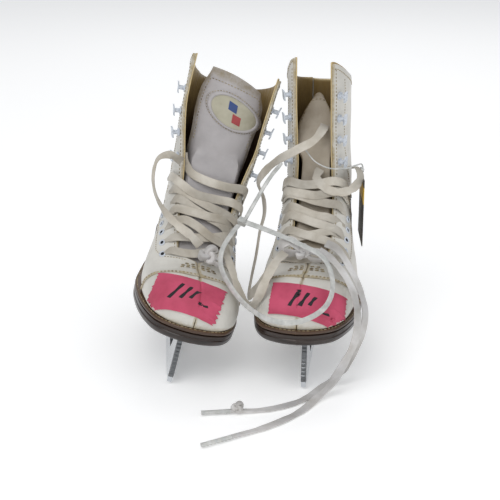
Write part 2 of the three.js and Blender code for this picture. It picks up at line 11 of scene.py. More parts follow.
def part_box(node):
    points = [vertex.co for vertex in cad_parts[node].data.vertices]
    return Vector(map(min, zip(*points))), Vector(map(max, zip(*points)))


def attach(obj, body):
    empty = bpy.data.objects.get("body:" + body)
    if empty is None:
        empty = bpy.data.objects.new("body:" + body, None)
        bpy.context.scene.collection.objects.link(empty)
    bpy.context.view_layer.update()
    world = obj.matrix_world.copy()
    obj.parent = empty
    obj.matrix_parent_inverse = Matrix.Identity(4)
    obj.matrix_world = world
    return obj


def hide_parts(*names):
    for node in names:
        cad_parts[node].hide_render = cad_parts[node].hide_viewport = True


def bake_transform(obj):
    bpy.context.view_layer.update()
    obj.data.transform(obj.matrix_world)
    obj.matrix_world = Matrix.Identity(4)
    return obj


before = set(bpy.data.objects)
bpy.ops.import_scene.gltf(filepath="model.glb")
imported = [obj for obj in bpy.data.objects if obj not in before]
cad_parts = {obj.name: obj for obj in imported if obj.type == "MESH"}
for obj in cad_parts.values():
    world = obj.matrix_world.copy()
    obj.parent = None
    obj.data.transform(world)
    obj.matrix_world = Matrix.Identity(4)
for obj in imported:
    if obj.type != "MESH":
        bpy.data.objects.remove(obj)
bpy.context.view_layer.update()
bpy.ops.object.select_all(action="DESELECT")

MM = 0.001
PAIR_PLACE = np.array([0.1, -3.2, 0.0])  # from the pair's own frame to the middle of its box, in millimetres

# ---- Studio -------------------------------------------------------------------------------------
# A pale matt floor that runs to the horizon, a broad soft key light from the front left and above, and a
# paler fill. The camera stands in front and looks down at the toes.
LOOK = Vector((0.0001, -0.0132, 0.08644))
CAMERA_DISTANCE = 0.905
CAMERA_ELEVATION = math.radians(20.625)


def linear(colour):
    """An sRGB hex colour as linear RGBA."""
    parts = [int(colour[i:i + 2], 16) / 255 for i in (1, 3, 5)]
    return (*[c / 12.92 if c <= 0.04045 else ((c + 0.055) / 1.055) ** 2.4 for c in parts], 1)


def node(tree, kind, inputs=None, **settings):
    """Adds a shader node: settings are its own properties, and inputs are values or sockets to link."""
    made = tree.nodes.new("ShaderNode" + kind)
    for key, value in settings.items():
        setattr(made, key, value)
    for key, value in (inputs or {}).items():
        if isinstance(value, bpy.types.NodeSocket):
            tree.links.new(value, made.inputs[key])
        else:
            made.inputs[key].default_value = value
    return made


def colour_mix(tree, share, first, second):
    """A mix of two colours or colour sockets, from the first at 0 to the second at 1."""
    return node(tree, "Mix", {0: share, 6: first, 7: second}, data_type="RGBA")


def feed(tree, surface, colour=None, rough=None, bump=None):
    """Feeds a colour mix, a roughness range and a bump into the surface shader."""
    for source, output, entry in ((colour, 2, "Base Color"), (rough, "Result", "Roughness"),
                                  (bump, "Normal", "Normal")):
        if source:
            tree.links.new(source.outputs[output], surface.inputs[entry])


def finish_named(name, **values):
    """A new material with values on its surface shader, and the tree and shader to add to."""
    made = bpy.data.materials.new(name)
    made.use_nodes = True
    surface = made.node_tree.nodes["Principled BSDF"]
    for key, value in values.items():
        surface.inputs[key.replace("_", " ")].default_value = value
    return made, made.node_tree, surface


def only(piece):
    """Selects one object and makes it the active one."""
    bpy.ops.object.select_all(action="DESELECT")
    piece.select_set(True)
    bpy.context.view_layer.objects.active = piece


camera_data = bpy.data.cameras.new("camera")
camera = bpy.data.objects.new("camera", camera_data)
bpy.context.scene.collection.objects.link(camera)
camera.location = LOOK + CAMERA_DISTANCE * Vector((0, -math.cos(CAMERA_ELEVATION),
                                                   math.sin(CAMERA_ELEVATION)))
camera.rotation_euler = (math.pi / 2 - CAMERA_ELEVATION, 0, 0)
camera_data.lens = 80.6
camera_data.sensor_width = 36
bpy.context.scene.camera = camera
bpy.context.scene.view_settings.view_transform = "Standard"

for light_name, place, size, power in (
    ("key", (-0.55, -1.0, 1.5), 1.3, 12), ("fill", (1.1, -0.7, 0.9), 1.4, 3),
    ("rear", (0.2, 1.2, 1.3), 1.2, 5),
):
    light_data = bpy.data.lights.new(light_name, "AREA")
    light_data.size = size
    light_data.energy = power
    light = bpy.data.objects.new(light_name, light_data)
    light.location = place
    light.rotation_euler = (LOOK - Vector(place)).to_track_quat("-Z", "Y").to_euler()
    bpy.context.scene.collection.objects.link(light)

world = bpy.data.worlds.new("studio")
world.use_nodes = True
world.node_tree.nodes["Background"].inputs["Color"].default_value = linear("#f4f6fa")
world.node_tree.nodes["Background"].inputs["Strength"].default_value = 0.55
bpy.context.scene.world = world

bpy.ops.mesh.primitive_plane_add(size=14, location=(0, 0, -0.0001))
floor = bpy.context.object
floor.name = "studio_floor"
floor_finish, tree, surface = finish_named("matt_paper", Roughness=0.9)
surface.inputs["Base Color"].default_value = linear("#fbfbfa")
surface.inputs["Emission Color"].default_value = linear("#ffffff")
surface.inputs["Emission Strength"].default_value = 0.22
floor.data.materials.append(floor_finish)

# ---- Boot shape ---------------------------------------------------------------------------------
# Both boots are lasted over one form. Stations run from the toe (0) over the instep to the collar (13), and
# at each station an angle goes from the top or front centre line (0) round to the sole or back one (pi).
BOOTS = {
    "right": {"at": (-69.8, 10.2, 0.52), "yaw": 4.1, "roll": 15.8, "inner": 1, "open": 2,
              "spread": {1: (19, 5.5), -1: (29, 8)}},
    "left": {"at": (52.9, 1.3, 0), "yaw": -7.7, "roll": 0, "inner": -1, "open": 0,
             "spread": {-1: (5, 8), 1: (-4, 8)}},
}
# Each station: top y, top z, low y, low z, half width, where the widest is, roundness above and below it.
LAST = np.array([
    (-100, 64, -99, 55, 0.3, 0.6, 2.2, 3), (-98, 71.5, -97.5, 54, 14, 0.62, 2.2, 3.5),
    (-92, 77.5, -92, 53.5, 25, 0.66, 2.2, 4.5), (-80, 82, -81, 53, 33, 0.68, 2.2, 5),
    (-64, 85, -66, 53, 37, 0.7, 2.3, 5), (-45, 88, -47, 53, 38.5, 0.72, 2.3, 5),
    (-27, 105, -24, 52, 37.5, 0.74, 2.2, 5), (-12, 126, 5, 55.5, 33, 0.72, 2.1, 4.5),
    (-3, 148, 42, 63.5, 29, 0.62, 2.1, 4.2), (-1, 165, 87, 68.5, 26.5, 0.52, 2.1, 4),
    (-1, 179, 97, 95, 26, 0.5, 2.1, 2.9), (-1, 193, 92, 128, 25.5, 0.5, 2.1, 2.3),
    (-2, 209, 87, 165, 25, 0.48, 2.1, 2.3), (-5, 241, 86, 206, 25, 0.46, 2.2, 2.4),
], float).T
FACING_GAP = np.array([14, 15.5, 16, 15.5, 15, 15, 15, 15, 14.5])
THROAT = 5
COLLAR = 13
BACKSTAY_HALF = 10
BACKSTAY_START = 9.12
LEATHER = 2.4
SOLE_FRONT = 54
HEEL_RISE = 16


def smooth(t):
    t = np.clip(t, 0, 1)
    return t * t * (3 - 2 * t)


def along(values, t):
    """Smooth values at t through evenly spaced ones."""
    t = np.asarray(t, float)
    end = len(values) - 1
    i = np.clip(np.floor(t).astype(int), 0, end - 1)
    u = t - i
    a, b, c, d = (values[np.clip(i + k, 0, end)] for k in (-1, 0, 1, 2))
    square = 2 * a - 5 * b + 4 * c - d
    cube = 3 * b - a - 3 * c + d
    return 0.5 * (2 * b + (c - a) * u + square * u ** 2 + cube * u ** 3)


def feather_height(y):
    """Height of the line where the upper meets the sole."""
    return SOLE_FRONT + HEEL_RISE * smooth((y + 22) / 70) + 1.2 * smooth((-85 - y) / 18)


def bend(boot, y):
    """The toe turns towards the inner side."""
    return boot["inner"] * 5 * smooth((-15 - y) / 85)


def last_point(boot, s, a):
    s, a = np.broadcast_arrays(np.asarray(s, float), np.asarray(a, float))
    top_y, top_z, low_y, low_z, half, wide, round_top, round_low = (along(track, s) for track in LAST)
    side = np.where(a < 0, -1, 1)
    front = np.abs(a) <= math.pi / 2
    power = 2 / np.where(front, round_top, round_low)
    rise = np.abs(np.cos(a)) ** power
    q = np.where(front, wide * (1 - rise), wide + (1 - wide) * rise)
    amount = np.where(side > 0, boot["spread"][1][0], boot["spread"][-1][0])
    span = np.where(side > 0, boot["spread"][1][1], boot["spread"][-1][1])
    spread = amount * smooth((s - THROAT) / span) * (1 - q) ** 2
    x = side * (np.maximum(half, 0.3) * np.abs(np.sin(a)) ** power + spread)
    y = top_y + (low_y - top_y) * q
    return np.stack([x + bend(boot, y), y, top_z + (low_z - top_z) * q], -1)


def unit(v):
    return v / np.maximum(np.linalg.norm(v, axis=-1, keepdims=True), 1e-9)


def last_normal(boot, s, a):
    s, a = np.broadcast_arrays(np.asarray(s, float), np.asarray(a, float))
    p = last_point(boot, s, a)
    ahead = last_point(boot, s + 0.02, a) - p
    round_it = last_point(boot, s, a + np.where(a < 0, -0.02, 0.02)) - p
    normal = unit(np.cross(ahead, round_it))
    middle = np.stack([0 * s, (along(LAST[0], s) + along(LAST[2], s)) / 2,
                       (along(LAST[1], s) + along(LAST[3], s)) / 2], -1)
    inward = np.sum(normal * (p - middle), -1, keepdims=True) < 0
    return np.where(inward, -normal, normal)


def skin(boot, s, a, lift=0.0):
    """Points on the boot's surface, lifted off it."""
    return last_point(boot, s, a) + last_normal(boot, s, a) * np.asarray(lift)[..., None]


def angle_at(s, x):
    """Angle at which the front of station s is x from its centre line, before the facings spread."""
    return np.arcsin(np.clip(np.abs(x) / along(LAST[4], s), 0, 1) ** (along(LAST[6], s) / 2))


def feather_angle(boot, s):
    low = np.full(np.shape(s), math.pi / 2)
    high = np.full(np.shape(s), math.pi * 0.98)
    for _ in range(24):
        middle = (low + high) / 2
        p = last_point(boot, s, middle)
        above = p[..., 2] > feather_height(p[..., 1]) + 0.4
        low = np.where(above, middle, low)
        high = np.where(above, high, middle)
    return low


def facing_half(boot, s):
    s = np.asarray(s, float)
    return along(FACING_GAP, np.clip(s - THROAT, 0, 8)) + boot["open"] * smooth((11 - s) / 4)


def in_pair(boot, points):
    """Points of a boot's own frame, in millimetres, as points of the pair in metres."""
    yaw, roll = math.radians(boot["yaw"]), math.radians(boot["roll"])
    turn = np.array([[math.cos(yaw), -math.sin(yaw), 0], [math.sin(yaw), math.cos(yaw), 0], [0, 0, 1]])
    lean = np.array([[math.cos(roll), 0, math.sin(roll)], [0, 1, 0], [-math.sin(roll), 0, math.cos(roll)]])
    return (np.asarray(points) @ (turn @ lean).T + np.array(boot["at"]) + PAIR_PLACE) * MM


def directions_in_pair(boot, vectors):
    return unit(in_pair(boot, vectors) - in_pair(boot, np.zeros(3)))


def add_piece(name, points, faces, finish, wear=None, uv=None):
    """A mesh object from points in metres, facing out, with an optional wear value per point."""
    mesh = bpy.data.meshes.new(name)
    mesh.from_pydata(np.asarray(points).reshape(-1, 3).tolist(), [], faces)
    if wear is not None:
        wear_data = mesh.attributes.new("wear", "FLOAT", "POINT").data
        wear_data.foreach_set("value", np.ravel(wear).astype(np.float32))
    if uv is not None:
        layer = mesh.uv_layers.new(name="UVMap")
        corners = np.zeros(len(mesh.loops), np.int32)
        mesh.loops.foreach_get("vertex_index", corners)
        layer.data.foreach_set("uv", np.asarray(uv, np.float32).reshape(-1, 2)[corners].ravel())
    piece = bpy.data.objects.new(name, mesh)
    bpy.context.scene.collection.objects.link(piece)
    mesh.materials.append(finish)
    only(piece)
    bpy.ops.object.mode_set(mode="EDIT")
    bpy.ops.mesh.select_all(action="SELECT")
    bpy.ops.mesh.normals_make_consistent(inside=False)
    bpy.ops.object.mode_set(mode="OBJECT")
    return piece


def complete(piece, *modifiers, angle=40):
    """Applies modifiers, each a kind with its values, and smooths the shading up to an angle."""
    only(piece)
    for kind, values in modifiers:
        modifier = piece.modifiers.new(kind.lower(), kind)
        for key, value in values.items():
            setattr(modifier, key, value)
        bpy.ops.object.modifier_apply(modifier=modifier.name)
    bpy.ops.object.shade_smooth_by_angle(angle=math.radians(angle))
    return piece


def shell(name, outer, inner, finish, wear=None, bevel=0.5):
    """A closed sheet between two grids of points with the same rows and columns, its rim rounded."""
    rows, columns = outer.shape[:2]
    count = rows * columns
    index = np.arange(count).reshape(rows, columns)
    quads = np.stack([index[:-1, :-1], index[1:, :-1], index[1:, 1:], index[:-1, 1:]], -1).reshape(-1, 4)
    rim = np.concatenate([index[0], index[1:, -1], index[-1, -2::-1], index[-2:0:-1, 0]])
    border = np.stack([rim, np.roll(rim, -1), np.roll(rim, -1) + count, rim + count], -1)
    faces = [*quads.tolist(), *(quads[:, ::-1] + count).tolist(), *border.tolist()]
    both = None if wear is None else np.concatenate([np.ravel(wear)] * 2)
    piece = add_piece(name, np.concatenate([outer.reshape(-1, 3), inner.reshape(-1, 3)]), faces, finish, both)
    rounding = {"width": bevel * MM, "segments": 2, "limit_method": "ANGLE", "angle_limit": math.radians(50)}
    return complete(piece, *([("BEVEL", rounding)] if bevel else []))


def crumple(points, size, depth, seed=0.0):
    """Smooth noise of about the given size and depth in millimetres, for points in millimetres."""
    flat = np.asarray(points, float).reshape(-1, 3) / size + seed
    values = [noise.noise(Vector(p)) for p in flat]
    return depth * np.array(values).reshape(np.shape(points)[:-1])


def leather_bumps(p):
    """The slight waves and dents of the worn upper."""
    return crumple(p, 30, 0.8, 5.5) + crumple(p, 9, 0.22, 1.7)


def ride_pair(piece):
    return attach(piece, "pair")


# ---- Leathers -----------------------------------------------------------------------------------
# The upper is split cowhide with a white polyurethane coat: a fine pebbled grain under a low sheen, greyed by
# use, yellowed along its edges and scuffed to a matt surface in places.
GRAIN = 0.9  # spacing of the pebbles in millimetres; 0.3 on the real coat, drawn coarser so that it shows


def coated_leather(name, colour, worn, shaded):
    made, tree, surface = finish_named(name, IOR=1.5, Coat_Weight=0.06, Coat_Roughness=0.35)
    place = node(tree, "TexCoord").outputs["Object"]
    wear = node(tree, "Attribute", attribute_name="wear").outputs["Fac"]
    stains = node(tree, "TexNoise", {"Vector": place, "Scale": 38, "Detail": 6, "Roughness": 0.62})
    scuffs = node(tree, "TexNoise", {"Vector": place, "Scale": 160, "Detail": 5, "Roughness": 0.7})
    broad = node(tree, "MapRange", {"Value": stains.outputs["Fac"], "From Min": 0.42, "From Max": 0.72})
    uneven = colour_mix(tree, broad.outputs["Result"], linear(colour), linear(shaded))
    # The wear attribute brings edge wear, and on the tongues' lower part also a painted shade.
    rubbed = node(tree, "Math", {0: wear, 1: scuffs.outputs["Fac"]}, operation="MULTIPLY")
    edge = node(tree, "MapRange", {"Value": rubbed.outputs[0], "From Min": 0.22, "From Max": 0.62})
    yellowed = colour_mix(tree, edge.outputs["Result"], uneven.outputs[2], linear(worn))
    surface_rough = node(tree, "MapRange", {"Value": scuffs.outputs["Fac"], "To Min": 0.36, "To Max": 0.62})
    pebbles = node(tree, "TexVoronoi", {"Vector": place, "Scale": 1 / (GRAIN * MM), "Smoothness": 0.6},
                   feature="SMOOTH_F1")
    dents = node(tree, "TexNoise", {"Vector": place, "Scale": 210, "Detail": 3})
    fine = node(tree, "Bump", {"Height": pebbles.outputs["Distance"], "Distance": 0.00012, "Strength": 0.7})
    broad_bump = node(tree, "Bump", {"Height": dents.outputs["Fac"], "Distance": 0.0006, "Strength": 0.5,
                                     "Normal": fine.outputs["Normal"]})
    feed(tree, surface, yellowed, surface_rough, broad_bump)
    return made


white_leather = coated_leather("white_coated_leather", "#d6d3cb", "#a89873", "#c3c0b8")

# ---- Vamp ---------------------------------------------------------------------------------------
# The toe part: two halves of coated leather closed by a centre seam, pulled over the last and tucked under
# the welt. Its back edge runs under the quarters.


def seam_station(t):
    """Station of the vamp's back edge, t of the way from the centre line (0) to the feather line (1)."""
    return 3.95 + 1.45 * t ** 1.5


def vamp_lift(boot, s, a):
    p = last_point(boot, s, a)
    across = p[..., 0] - bend(boot, p[..., 1])
    groove = -0.9 * np.exp(-(across / 0.55) ** 2) + 0.35 * np.exp(-((np.abs(across) - 2.1) / 1.1) ** 2)
    uneven = crumple(p, 26, 0.55, 3.1) + crumple(p, 7, 0.16, 8.0)
    return groove * smooth((s - 0.9) / 0.5) + uneven * smooth(s / 0.8)


vamps = {}
for boot_name, boot in BOOTS.items():
    t = np.linspace(-1, 1, 121)
    t = np.sign(t) * (0.35 * np.abs(t) + 0.65 * np.abs(t) ** 1.8)
    s = seam_station(np.abs(t))[:, None] * np.linspace(0, 1, 61)[None, :] ** 1.3
    a = t[:, None] * feather_angle(boot, s)
    lift = vamp_lift(boot, s, a)
    p = last_point(boot, s, a)
    centre = np.exp(-((p[..., 0] - bend(boot, p[..., 1])) / 2.2) ** 2)
    low = smooth((9 - (p[..., 2] - feather_height(p[..., 1]))) / 9)
    piece = shell(boot_name + "_vamp_leather", in_pair(boot, skin(boot, s, a, lift)),
                  in_pair(boot, skin(boot, np.maximum(s, 0.45), a, -LEATHER)), white_leather,
                  np.maximum(centre, 0.8 * low), bevel=0)
    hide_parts(boot_name + "_vamp")
    ride_pair(piece)
    vamps[boot_name] = piece

# ---- Quarters -----------------------------------------------------------------------------------
# The two sides of the boot. They lap over the vamp, meet in a short centre seam below the throat and open
# from there to the collar. Each is a coated leather face with a thinner lining behind it.
LEATHER_FACE = 1.5  # thickness of the outer leather; the lining takes the rest
LAP = 0.16  # stations by which a quarter laps over the vamp


def facing_angle(boot, s):
    opening = smooth((s - 4.95) / 0.3)
    return angle_at(s, 0.25 + (facing_half(boot, s) - 0.25) * opening)


def rear_angle(boot, s):
    edge = math.pi - np.arcsin(np.clip(BACKSTAY_HALF / along(LAST[4], s), 0, 1) ** (along(LAST[7], s) / 2))
    return np.minimum(feather_angle(boot, np.minimum(s, 9)), edge)


def collar_station(t, side):
    """The collar rises to a peak at each facing, whose corner is rounded off, and dips behind it."""
    corner = 1 - np.sqrt(1 - np.clip(1 - t / 0.11, 0, 1) ** 2)
    taller = 0.16 * np.exp(-(t / 0.14) ** 2) * (1 if side < 0 else -0.3)
    return COLLAR - 0.22 * np.sin(math.pi * t ** 0.8) - 0.16 * corner + taller


def quarter_grid(boot, side, lap=LAP, trim=0.0, rows=81, columns=131):
    t = np.linspace(0, 1, rows)[:, None] ** 1.25
    start = seam_station(t) - lap
    s = start + (collar_station(t, side) - trim - start) * np.linspace(0, 1, columns)[None, :]
    first = facing_angle(boot, s)
    a = first + (rear_angle(boot, s) - 0.02 - first) * t
    return s, side * a, t + 0 * s


CREASES = ((7.3, 0.55, 0.9), (7.95, 0.4, 1.1), (8.6, 0.3, 0.9), (9.3, 0.2, 0.6))  # station, slope, depth
CREASE_WIDTH = 0.085
SWELL_SHARE = 0.45  # the leather pushed up above each crease, as a share of the crease's depth
SWELL_BEHIND = 0.22
SWELL_WIDTH = 0.12


def ankle_creases(s, a, p):
    """Folds that wearing presses into the leather where the ankle bends."""
    side_on = smooth((np.abs(a) - 0.7) / 0.5) * smooth((2.7 - np.abs(a)) / 0.6)
    folds = 0
    for station, slope, depth in CREASES:
        centre = station + slope * (np.abs(a) - 1.2) + 0.12 * crumple(p, 18, 1.0, station)
        crease = np.exp(-((s - centre) / CREASE_WIDTH) ** 2)
        swell = np.exp(-((s - centre - SWELL_BEHIND) / SWELL_WIDTH) ** 2)
        folds = folds - depth * crease + SWELL_SHARE * depth * swell
    return folds * side_on


for boot_name, boot in BOOTS.items():
    for side_name, side in (("inner", boot["inner"]), ("outer", -boot["inner"])):
        s, a, t = quarter_grid(boot, side)
        p = last_point(boot, s, a)
        from_lap = (s - seam_station(t) + LAP) / LAP
        raised = 1.35 * smooth((2.6 - from_lap) / 1.8)
        centre = np.exp(-((p[..., 0] - bend(boot, p[..., 1])) / 1.2) ** 2) * (s < THROAT + 0.1)
        lift = raised + leather_bumps(p) + ankle_creases(s, a, p) - 0.5 * centre
        depth = np.where(from_lap < 1.4, 0.12, -LEATHER_FACE)
        facing = np.exp(-((np.abs(a) - facing_angle(boot, s)) * along(LAST[4], s) / 1.6) ** 2)
        top = np.exp(-((COLLAR - s) / 0.12) ** 2)
        wear = np.clip(facing + top + 0.9 * smooth((1.5 - from_lap) / 1.0) + 0.6 * centre, 0, 1)
        piece = shell(f"{boot_name}_quarter_leather_{side_name}", in_pair(boot, skin(boot, s, a, lift)),
                      in_pair(boot, skin(boot, s, a, np.minimum(depth, lift - 0.8))), white_leather, wear)
        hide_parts(f"{boot_name}_quarter_{side_name}")
        ride_pair(piece)

# ---- Lining -------------------------------------------------------------------------------------
# Tan lining leather glued behind the quarters. It shows as a thin yellow rim along the facings and inside the
# shaft, where it is glossy and ribbed near the collar and dark brown further down: sweat stains and a painted
# shade of the deep shaft, laid into the colour by height.


def lining_leather():
    made, tree, surface = finish_named("tan_lining_leather", IOR=1.48)
    place = node(tree, "TexCoord").outputs["Object"]
    height = node(tree, "SeparateXYZ", {"Vector": place}).outputs["Z"]
    blotches = node(tree, "TexNoise", {"Vector": place, "Scale": 30, "Detail": 5, "Roughness": 0.6})
    wander = node(tree, "Math", {0: blotches.outputs["Fac"], 1: 0.06}, operation="MULTIPLY")
    level = node(tree, "Math", {0: height, 1: wander.outputs[0]}, operation="SUBTRACT")
    # Dark brown low in the shaft, below about 0.135 m: sweat staining together with a painted shade of the
    # deep shaft.
    clear_of_sweat_and_shade = node(tree, "MapRange", {"Value": level.outputs[0], "From Min": 0.135, "From Max": 0.2})
    wear = node(tree, "Attribute", attribute_name="wear").outputs["Fac"]
    dark = colour_mix(tree, clear_of_sweat_and_shade.outputs["Result"], linear("#3a2a1c"), linear("#a58a55"))
    rim = colour_mix(tree, wear, dark.outputs[2], linear("#cdb98c"))
    stretched = node(tree, "Mapping", {"Vector": place, "Scale": (1, 1, 0.12)}).outputs[0]
    ribs = node(tree, "TexNoise", {"Vector": stretched, "Scale": 330, "Detail": 3})
    bump = node(tree, "Bump", {"Height": ribs.outputs["Fac"], "Distance": 0.001, "Strength": 0.6})
    streak = node(tree, "MapRange", {"Value": ribs.outputs["Fac"], "From Min": 0.35, "From Max": 0.7,
                                     "To Min": 0.3, "To Max": 0.6})
    feed(tree, surface, rim, streak, bump)
    return made


tan_lining = lining_leather()
for boot_name, boot in BOOTS.items():
    for side_name, side in (("inner", boot["inner"]), ("outer", -boot["inner"])):
        s, a, t = quarter_grid(boot, side, lap=-0.05, trim=-0.05, rows=41, columns=91)
        proud = 0.6 / along(LAST[4], s) * (1 - t) ** 8 * (s > THROAT + 0.3)
        a = a - side * proud
        p = last_point(boot, s, a)
        ripple = crumple(p, 11, 0.5, 2.2) * smooth((s - 9.5) / 1.5) * smooth(t / 0.2)
        wear = np.maximum(np.exp(-(t / 0.02) ** 2), np.exp(-((COLLAR - s) / 0.05) ** 2))
        outside = in_pair(boot, skin(boot, s, a, -LEATHER_FACE - 0.05))
        piece = shell(f"{boot_name}_lining_{side_name}", outside,
                      in_pair(boot, skin(boot, s, a, -LEATHER + ripple)), tan_lining, wear, bevel=0.25)
        ride_pair(piece)

# ---- Backstay -----------------------------------------------------------------------------------
# A strip of the same coated leather over the back seam, from the heel to the collar. Its wings lap over both
# quarters, and the back of the lining closes behind it.
for boot_name, boot in BOOTS.items():
    t = np.linspace(-1, 1, 25)[:, None]
    s = BACKSTAY_START + (COLLAR - BACKSTAY_START) * np.linspace(0, 1, 91)[None, :] + 0 * t
    edge = rear_angle(boot, s) - 0.07
    middle = math.pi - 0.025  # just short of the centre line, where the surface's normal turns over
    a = np.where(t < 0, -1, 1) * (middle + (edge - middle) * np.abs(t))
    p = last_point(boot, s, a)
    wings = smooth((np.abs(t) - 0.66) / 0.12)
    lift = 0.95 + crumple(p, 30, 0.8, 5.5) * wings + 0.25 * np.exp(-((np.abs(t) - 0.5) / 0.3) ** 2)
    piece = shell(boot_name + "_backstay_strip", in_pair(boot, skin(boot, s, a, lift)),
                  in_pair(boot, skin(boot, s, a, np.where(wings > 0.5, lift - 0.8, -LEATHER_FACE))),
                  white_leather,
                  np.clip(np.exp(-((1 - np.abs(t)) / 0.12) ** 2) + np.exp(-((COLLAR - s) / 0.12) ** 2), 0, 1))
    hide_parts(boot_name + "_backstay")
    ride_pair(piece)
    behind = np.where(t < 0, -1, 1) * (middle + (edge - middle + 0.1) * np.abs(t))
    ripple = crumple(p, 11, 0.5, 2.2)
    piece = shell(boot_name + "_lining_back", in_pair(boot, skin(boot, s, behind, -LEATHER_FACE - 0.05)),
                  in_pair(boot, skin(boot, s, behind, -LEATHER + ripple)), tan_lining,
                  np.exp(-((COLLAR - s) / 0.05) ** 2), bevel=0.25)
    ride_pair(piece)

# ---- Tongue -------------------------------------------------------------------------------------
# Padded leather sewn in at the throat. It lies under the lacing and stands free above it: the right one is
# wide and upright, the left one has folded narrow and leans back into the shaft.
TONGUE_SPLIT = 9.2
TONGUE_DEPTH = 3.2
TONGUE_THICK = 4
TONGUES = {
    "right": {"lean": (-4, 6), "length": 64, "half": (25, 25.5, 27, 26.5, 21.5), "bow": 9, "slope": -7,
              "shift": 0,
              "gap": 2, "root": 25},
    "left": {"lean": (30, 48), "length": 49, "half": (16, 16.5, 14.5, 10, 4), "bow": 5, "slope": 0,
             "shift": -2,
             "gap": 4.5, "root": 16},
}
FLAP_HALF = 26
FLAP_CROWN = 3


WIDE_SPREAD = 10  # a facing that opens further than this takes the tongue's edge along by a share
FOLLOW_SHARE = 0.5


def tongue_point(boot, s, x, depth):
    """Flat between the facings, and following them beyond their edges."""
    follows = {}
    for facing, (amount, span) in boot["spread"].items():
        share = FOLLOW_SHARE if amount > WIDE_SPREAD else min(amount, 0) / amount
        follows[facing] = (amount * share, span)
    closed = dict(boot, spread=follows)
    s, x = np.broadcast_arrays(np.asarray(s, float), np.asarray(x, float))
    half = facing_half(boot, s)
    side = np.where(x < 0, -1, 1)
    p = skin(closed, s, side * angle_at(s, np.maximum(np.abs(x), half)), -np.asarray(depth, float))
    centre = bend(boot, p[..., 1])
    within = np.abs(x) < half
    p[..., 0] = np.where(within, centre + (p[..., 0] - centre) * np.abs(x) / half, p[..., 0])
    return p


def flap_point(boot, spec, v, x, depth):
    """v of the way up the free part, x from its middle, some depth behind its face."""
    v, x = np.broadcast_arrays(np.asarray(v, float), np.asarray(x, float))
    p = np.broadcast_to(tongue_point(boot, TONGUE_SPLIT, 0, TONGUE_DEPTH) + [0, 0, spec["gap"]],
                        (*v.shape, 3)).copy()
    steps = 24
    for i in range(steps):
        angle = np.radians(spec["lean"][0] + (spec["lean"][1] - spec["lean"][0]) * (i + 0.5) / steps * v)
        p[..., 1] += np.sin(angle) * spec["length"] * v / steps
        p[..., 2] += np.cos(angle) * spec["length"] * v / steps
    angle = np.radians(spec["lean"][0] + (spec["lean"][1] - spec["lean"][0]) * v)
    half = along(np.array(spec["half"]), v * 4)
    crown = v ** 3 * (FLAP_CROWN * (1 - (x / half) ** 2) + spec["slope"] * x / FLAP_HALF)
    back = spec["bow"] * (x / FLAP_HALF) ** 2 + depth
    p[..., 1] += np.cos(angle) * back
    p[..., 2] += crown - np.sin(angle) * back
    p[..., 0] += x + spec["shift"]
    return p


def tongue_surface(boot, spec, u, w, depth):
    """The whole tongue's face: u is -1 to 1 across, w is 0 at the throat, 1 at the split, 2 at the tip."""
    lower = np.clip(w, 0, 0.97)
    s = 4.75 + (TONGUE_SPLIT - 4.75) * lower
    base = tongue_point(boot, s, u * (15 + (spec["root"] - 15) * lower ** 0.6), TONGUE_DEPTH + depth)
    v = np.clip(w - 1, 0.03, 1)
    flap = flap_point(boot, spec, v, u * along(np.array(spec["half"]), v * 4), depth)
    mix = smooth((w - 0.93) / 0.14)[..., None]
    return base * (1 - mix) + flap * mix


tongue_leathers = {
    "right": coated_leather("grey_white_tongue_leather", "#b5b1b1", "#8f8470", "#a5a1a1"),
    "left": coated_leather("tan_stained_tongue_leather", "#a89d8c", "#7a6a50", "#8f8371"),
}
tongues = {}
for boot_name, boot in BOOTS.items():
    spec = TONGUES[boot_name]
    u = np.linspace(-1, 1, 61)[:, None]
    w = np.linspace(0, 2, 121)[None, :] + 0 * u
    u = u + 0 * w
    p = tongue_surface(boot, spec, u, w, 0)
    rim = np.maximum(np.abs(u) ** 1, np.where(w > 1, w - 1, 0))
    pillow = 1.3 * (1 - smooth((rim - 0.86) / 0.12)) - 1.3
    hem = -0.45 * np.exp(-((rim - 0.87) / 0.02) ** 2)
    face = tongue_surface(boot, spec, u, w, -pillow - hem - crumple(p, 20, 0.6, 4.4) * (rim < 0.98))
    rear = tongue_surface(boot, spec, u, w, TONGUE_THICK - 0.6 + pillow)
    # The worn colour runs along the rim as edge wear, and at half strength over the lower part between the
    # facings, where it is a painted shade under the lacing.
    wear = np.clip(1.2 * smooth((rim - 0.8) / 0.2) + 0.5 * smooth((0.9 - w) / 0.4), 0, 1)
    piece = shell(boot_name + "_tongue_padded", in_pair(boot, face), in_pair(boot, rear),
                  tongue_leathers[boot_name],
                  wear, bevel=0.6)
    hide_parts(boot_name + "_tongue", boot_name + "_tongue_base")
    up = Vector(directions_in_pair(boot, np.array([0, 0, 1.0])))
    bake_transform(piece)
    tongues[boot_name] = piece

# ---- Sole ---------------------------------------------------------------------------------------
# A leather welt, a stacked outsole and a heel block, ground flush together and varnished dark brown on the
# edge. The upper face of the welt is lighter and carries a row of stitches.
OUTLINE = np.array([
    (-102.5, 0), (-100.5, 12), (-94, 24), (-83, 32.5), (-66, 38.5), (-45, 41), (-22, 41), (2, 36.5), (25, 30),
    (45, 28), (66, 28.5), (82, 26.5), (92, 20), (97.5, 11), (99.5, 0),
], float)
HEEL_BOTTOM = 48
SOLE_STEPS = 120


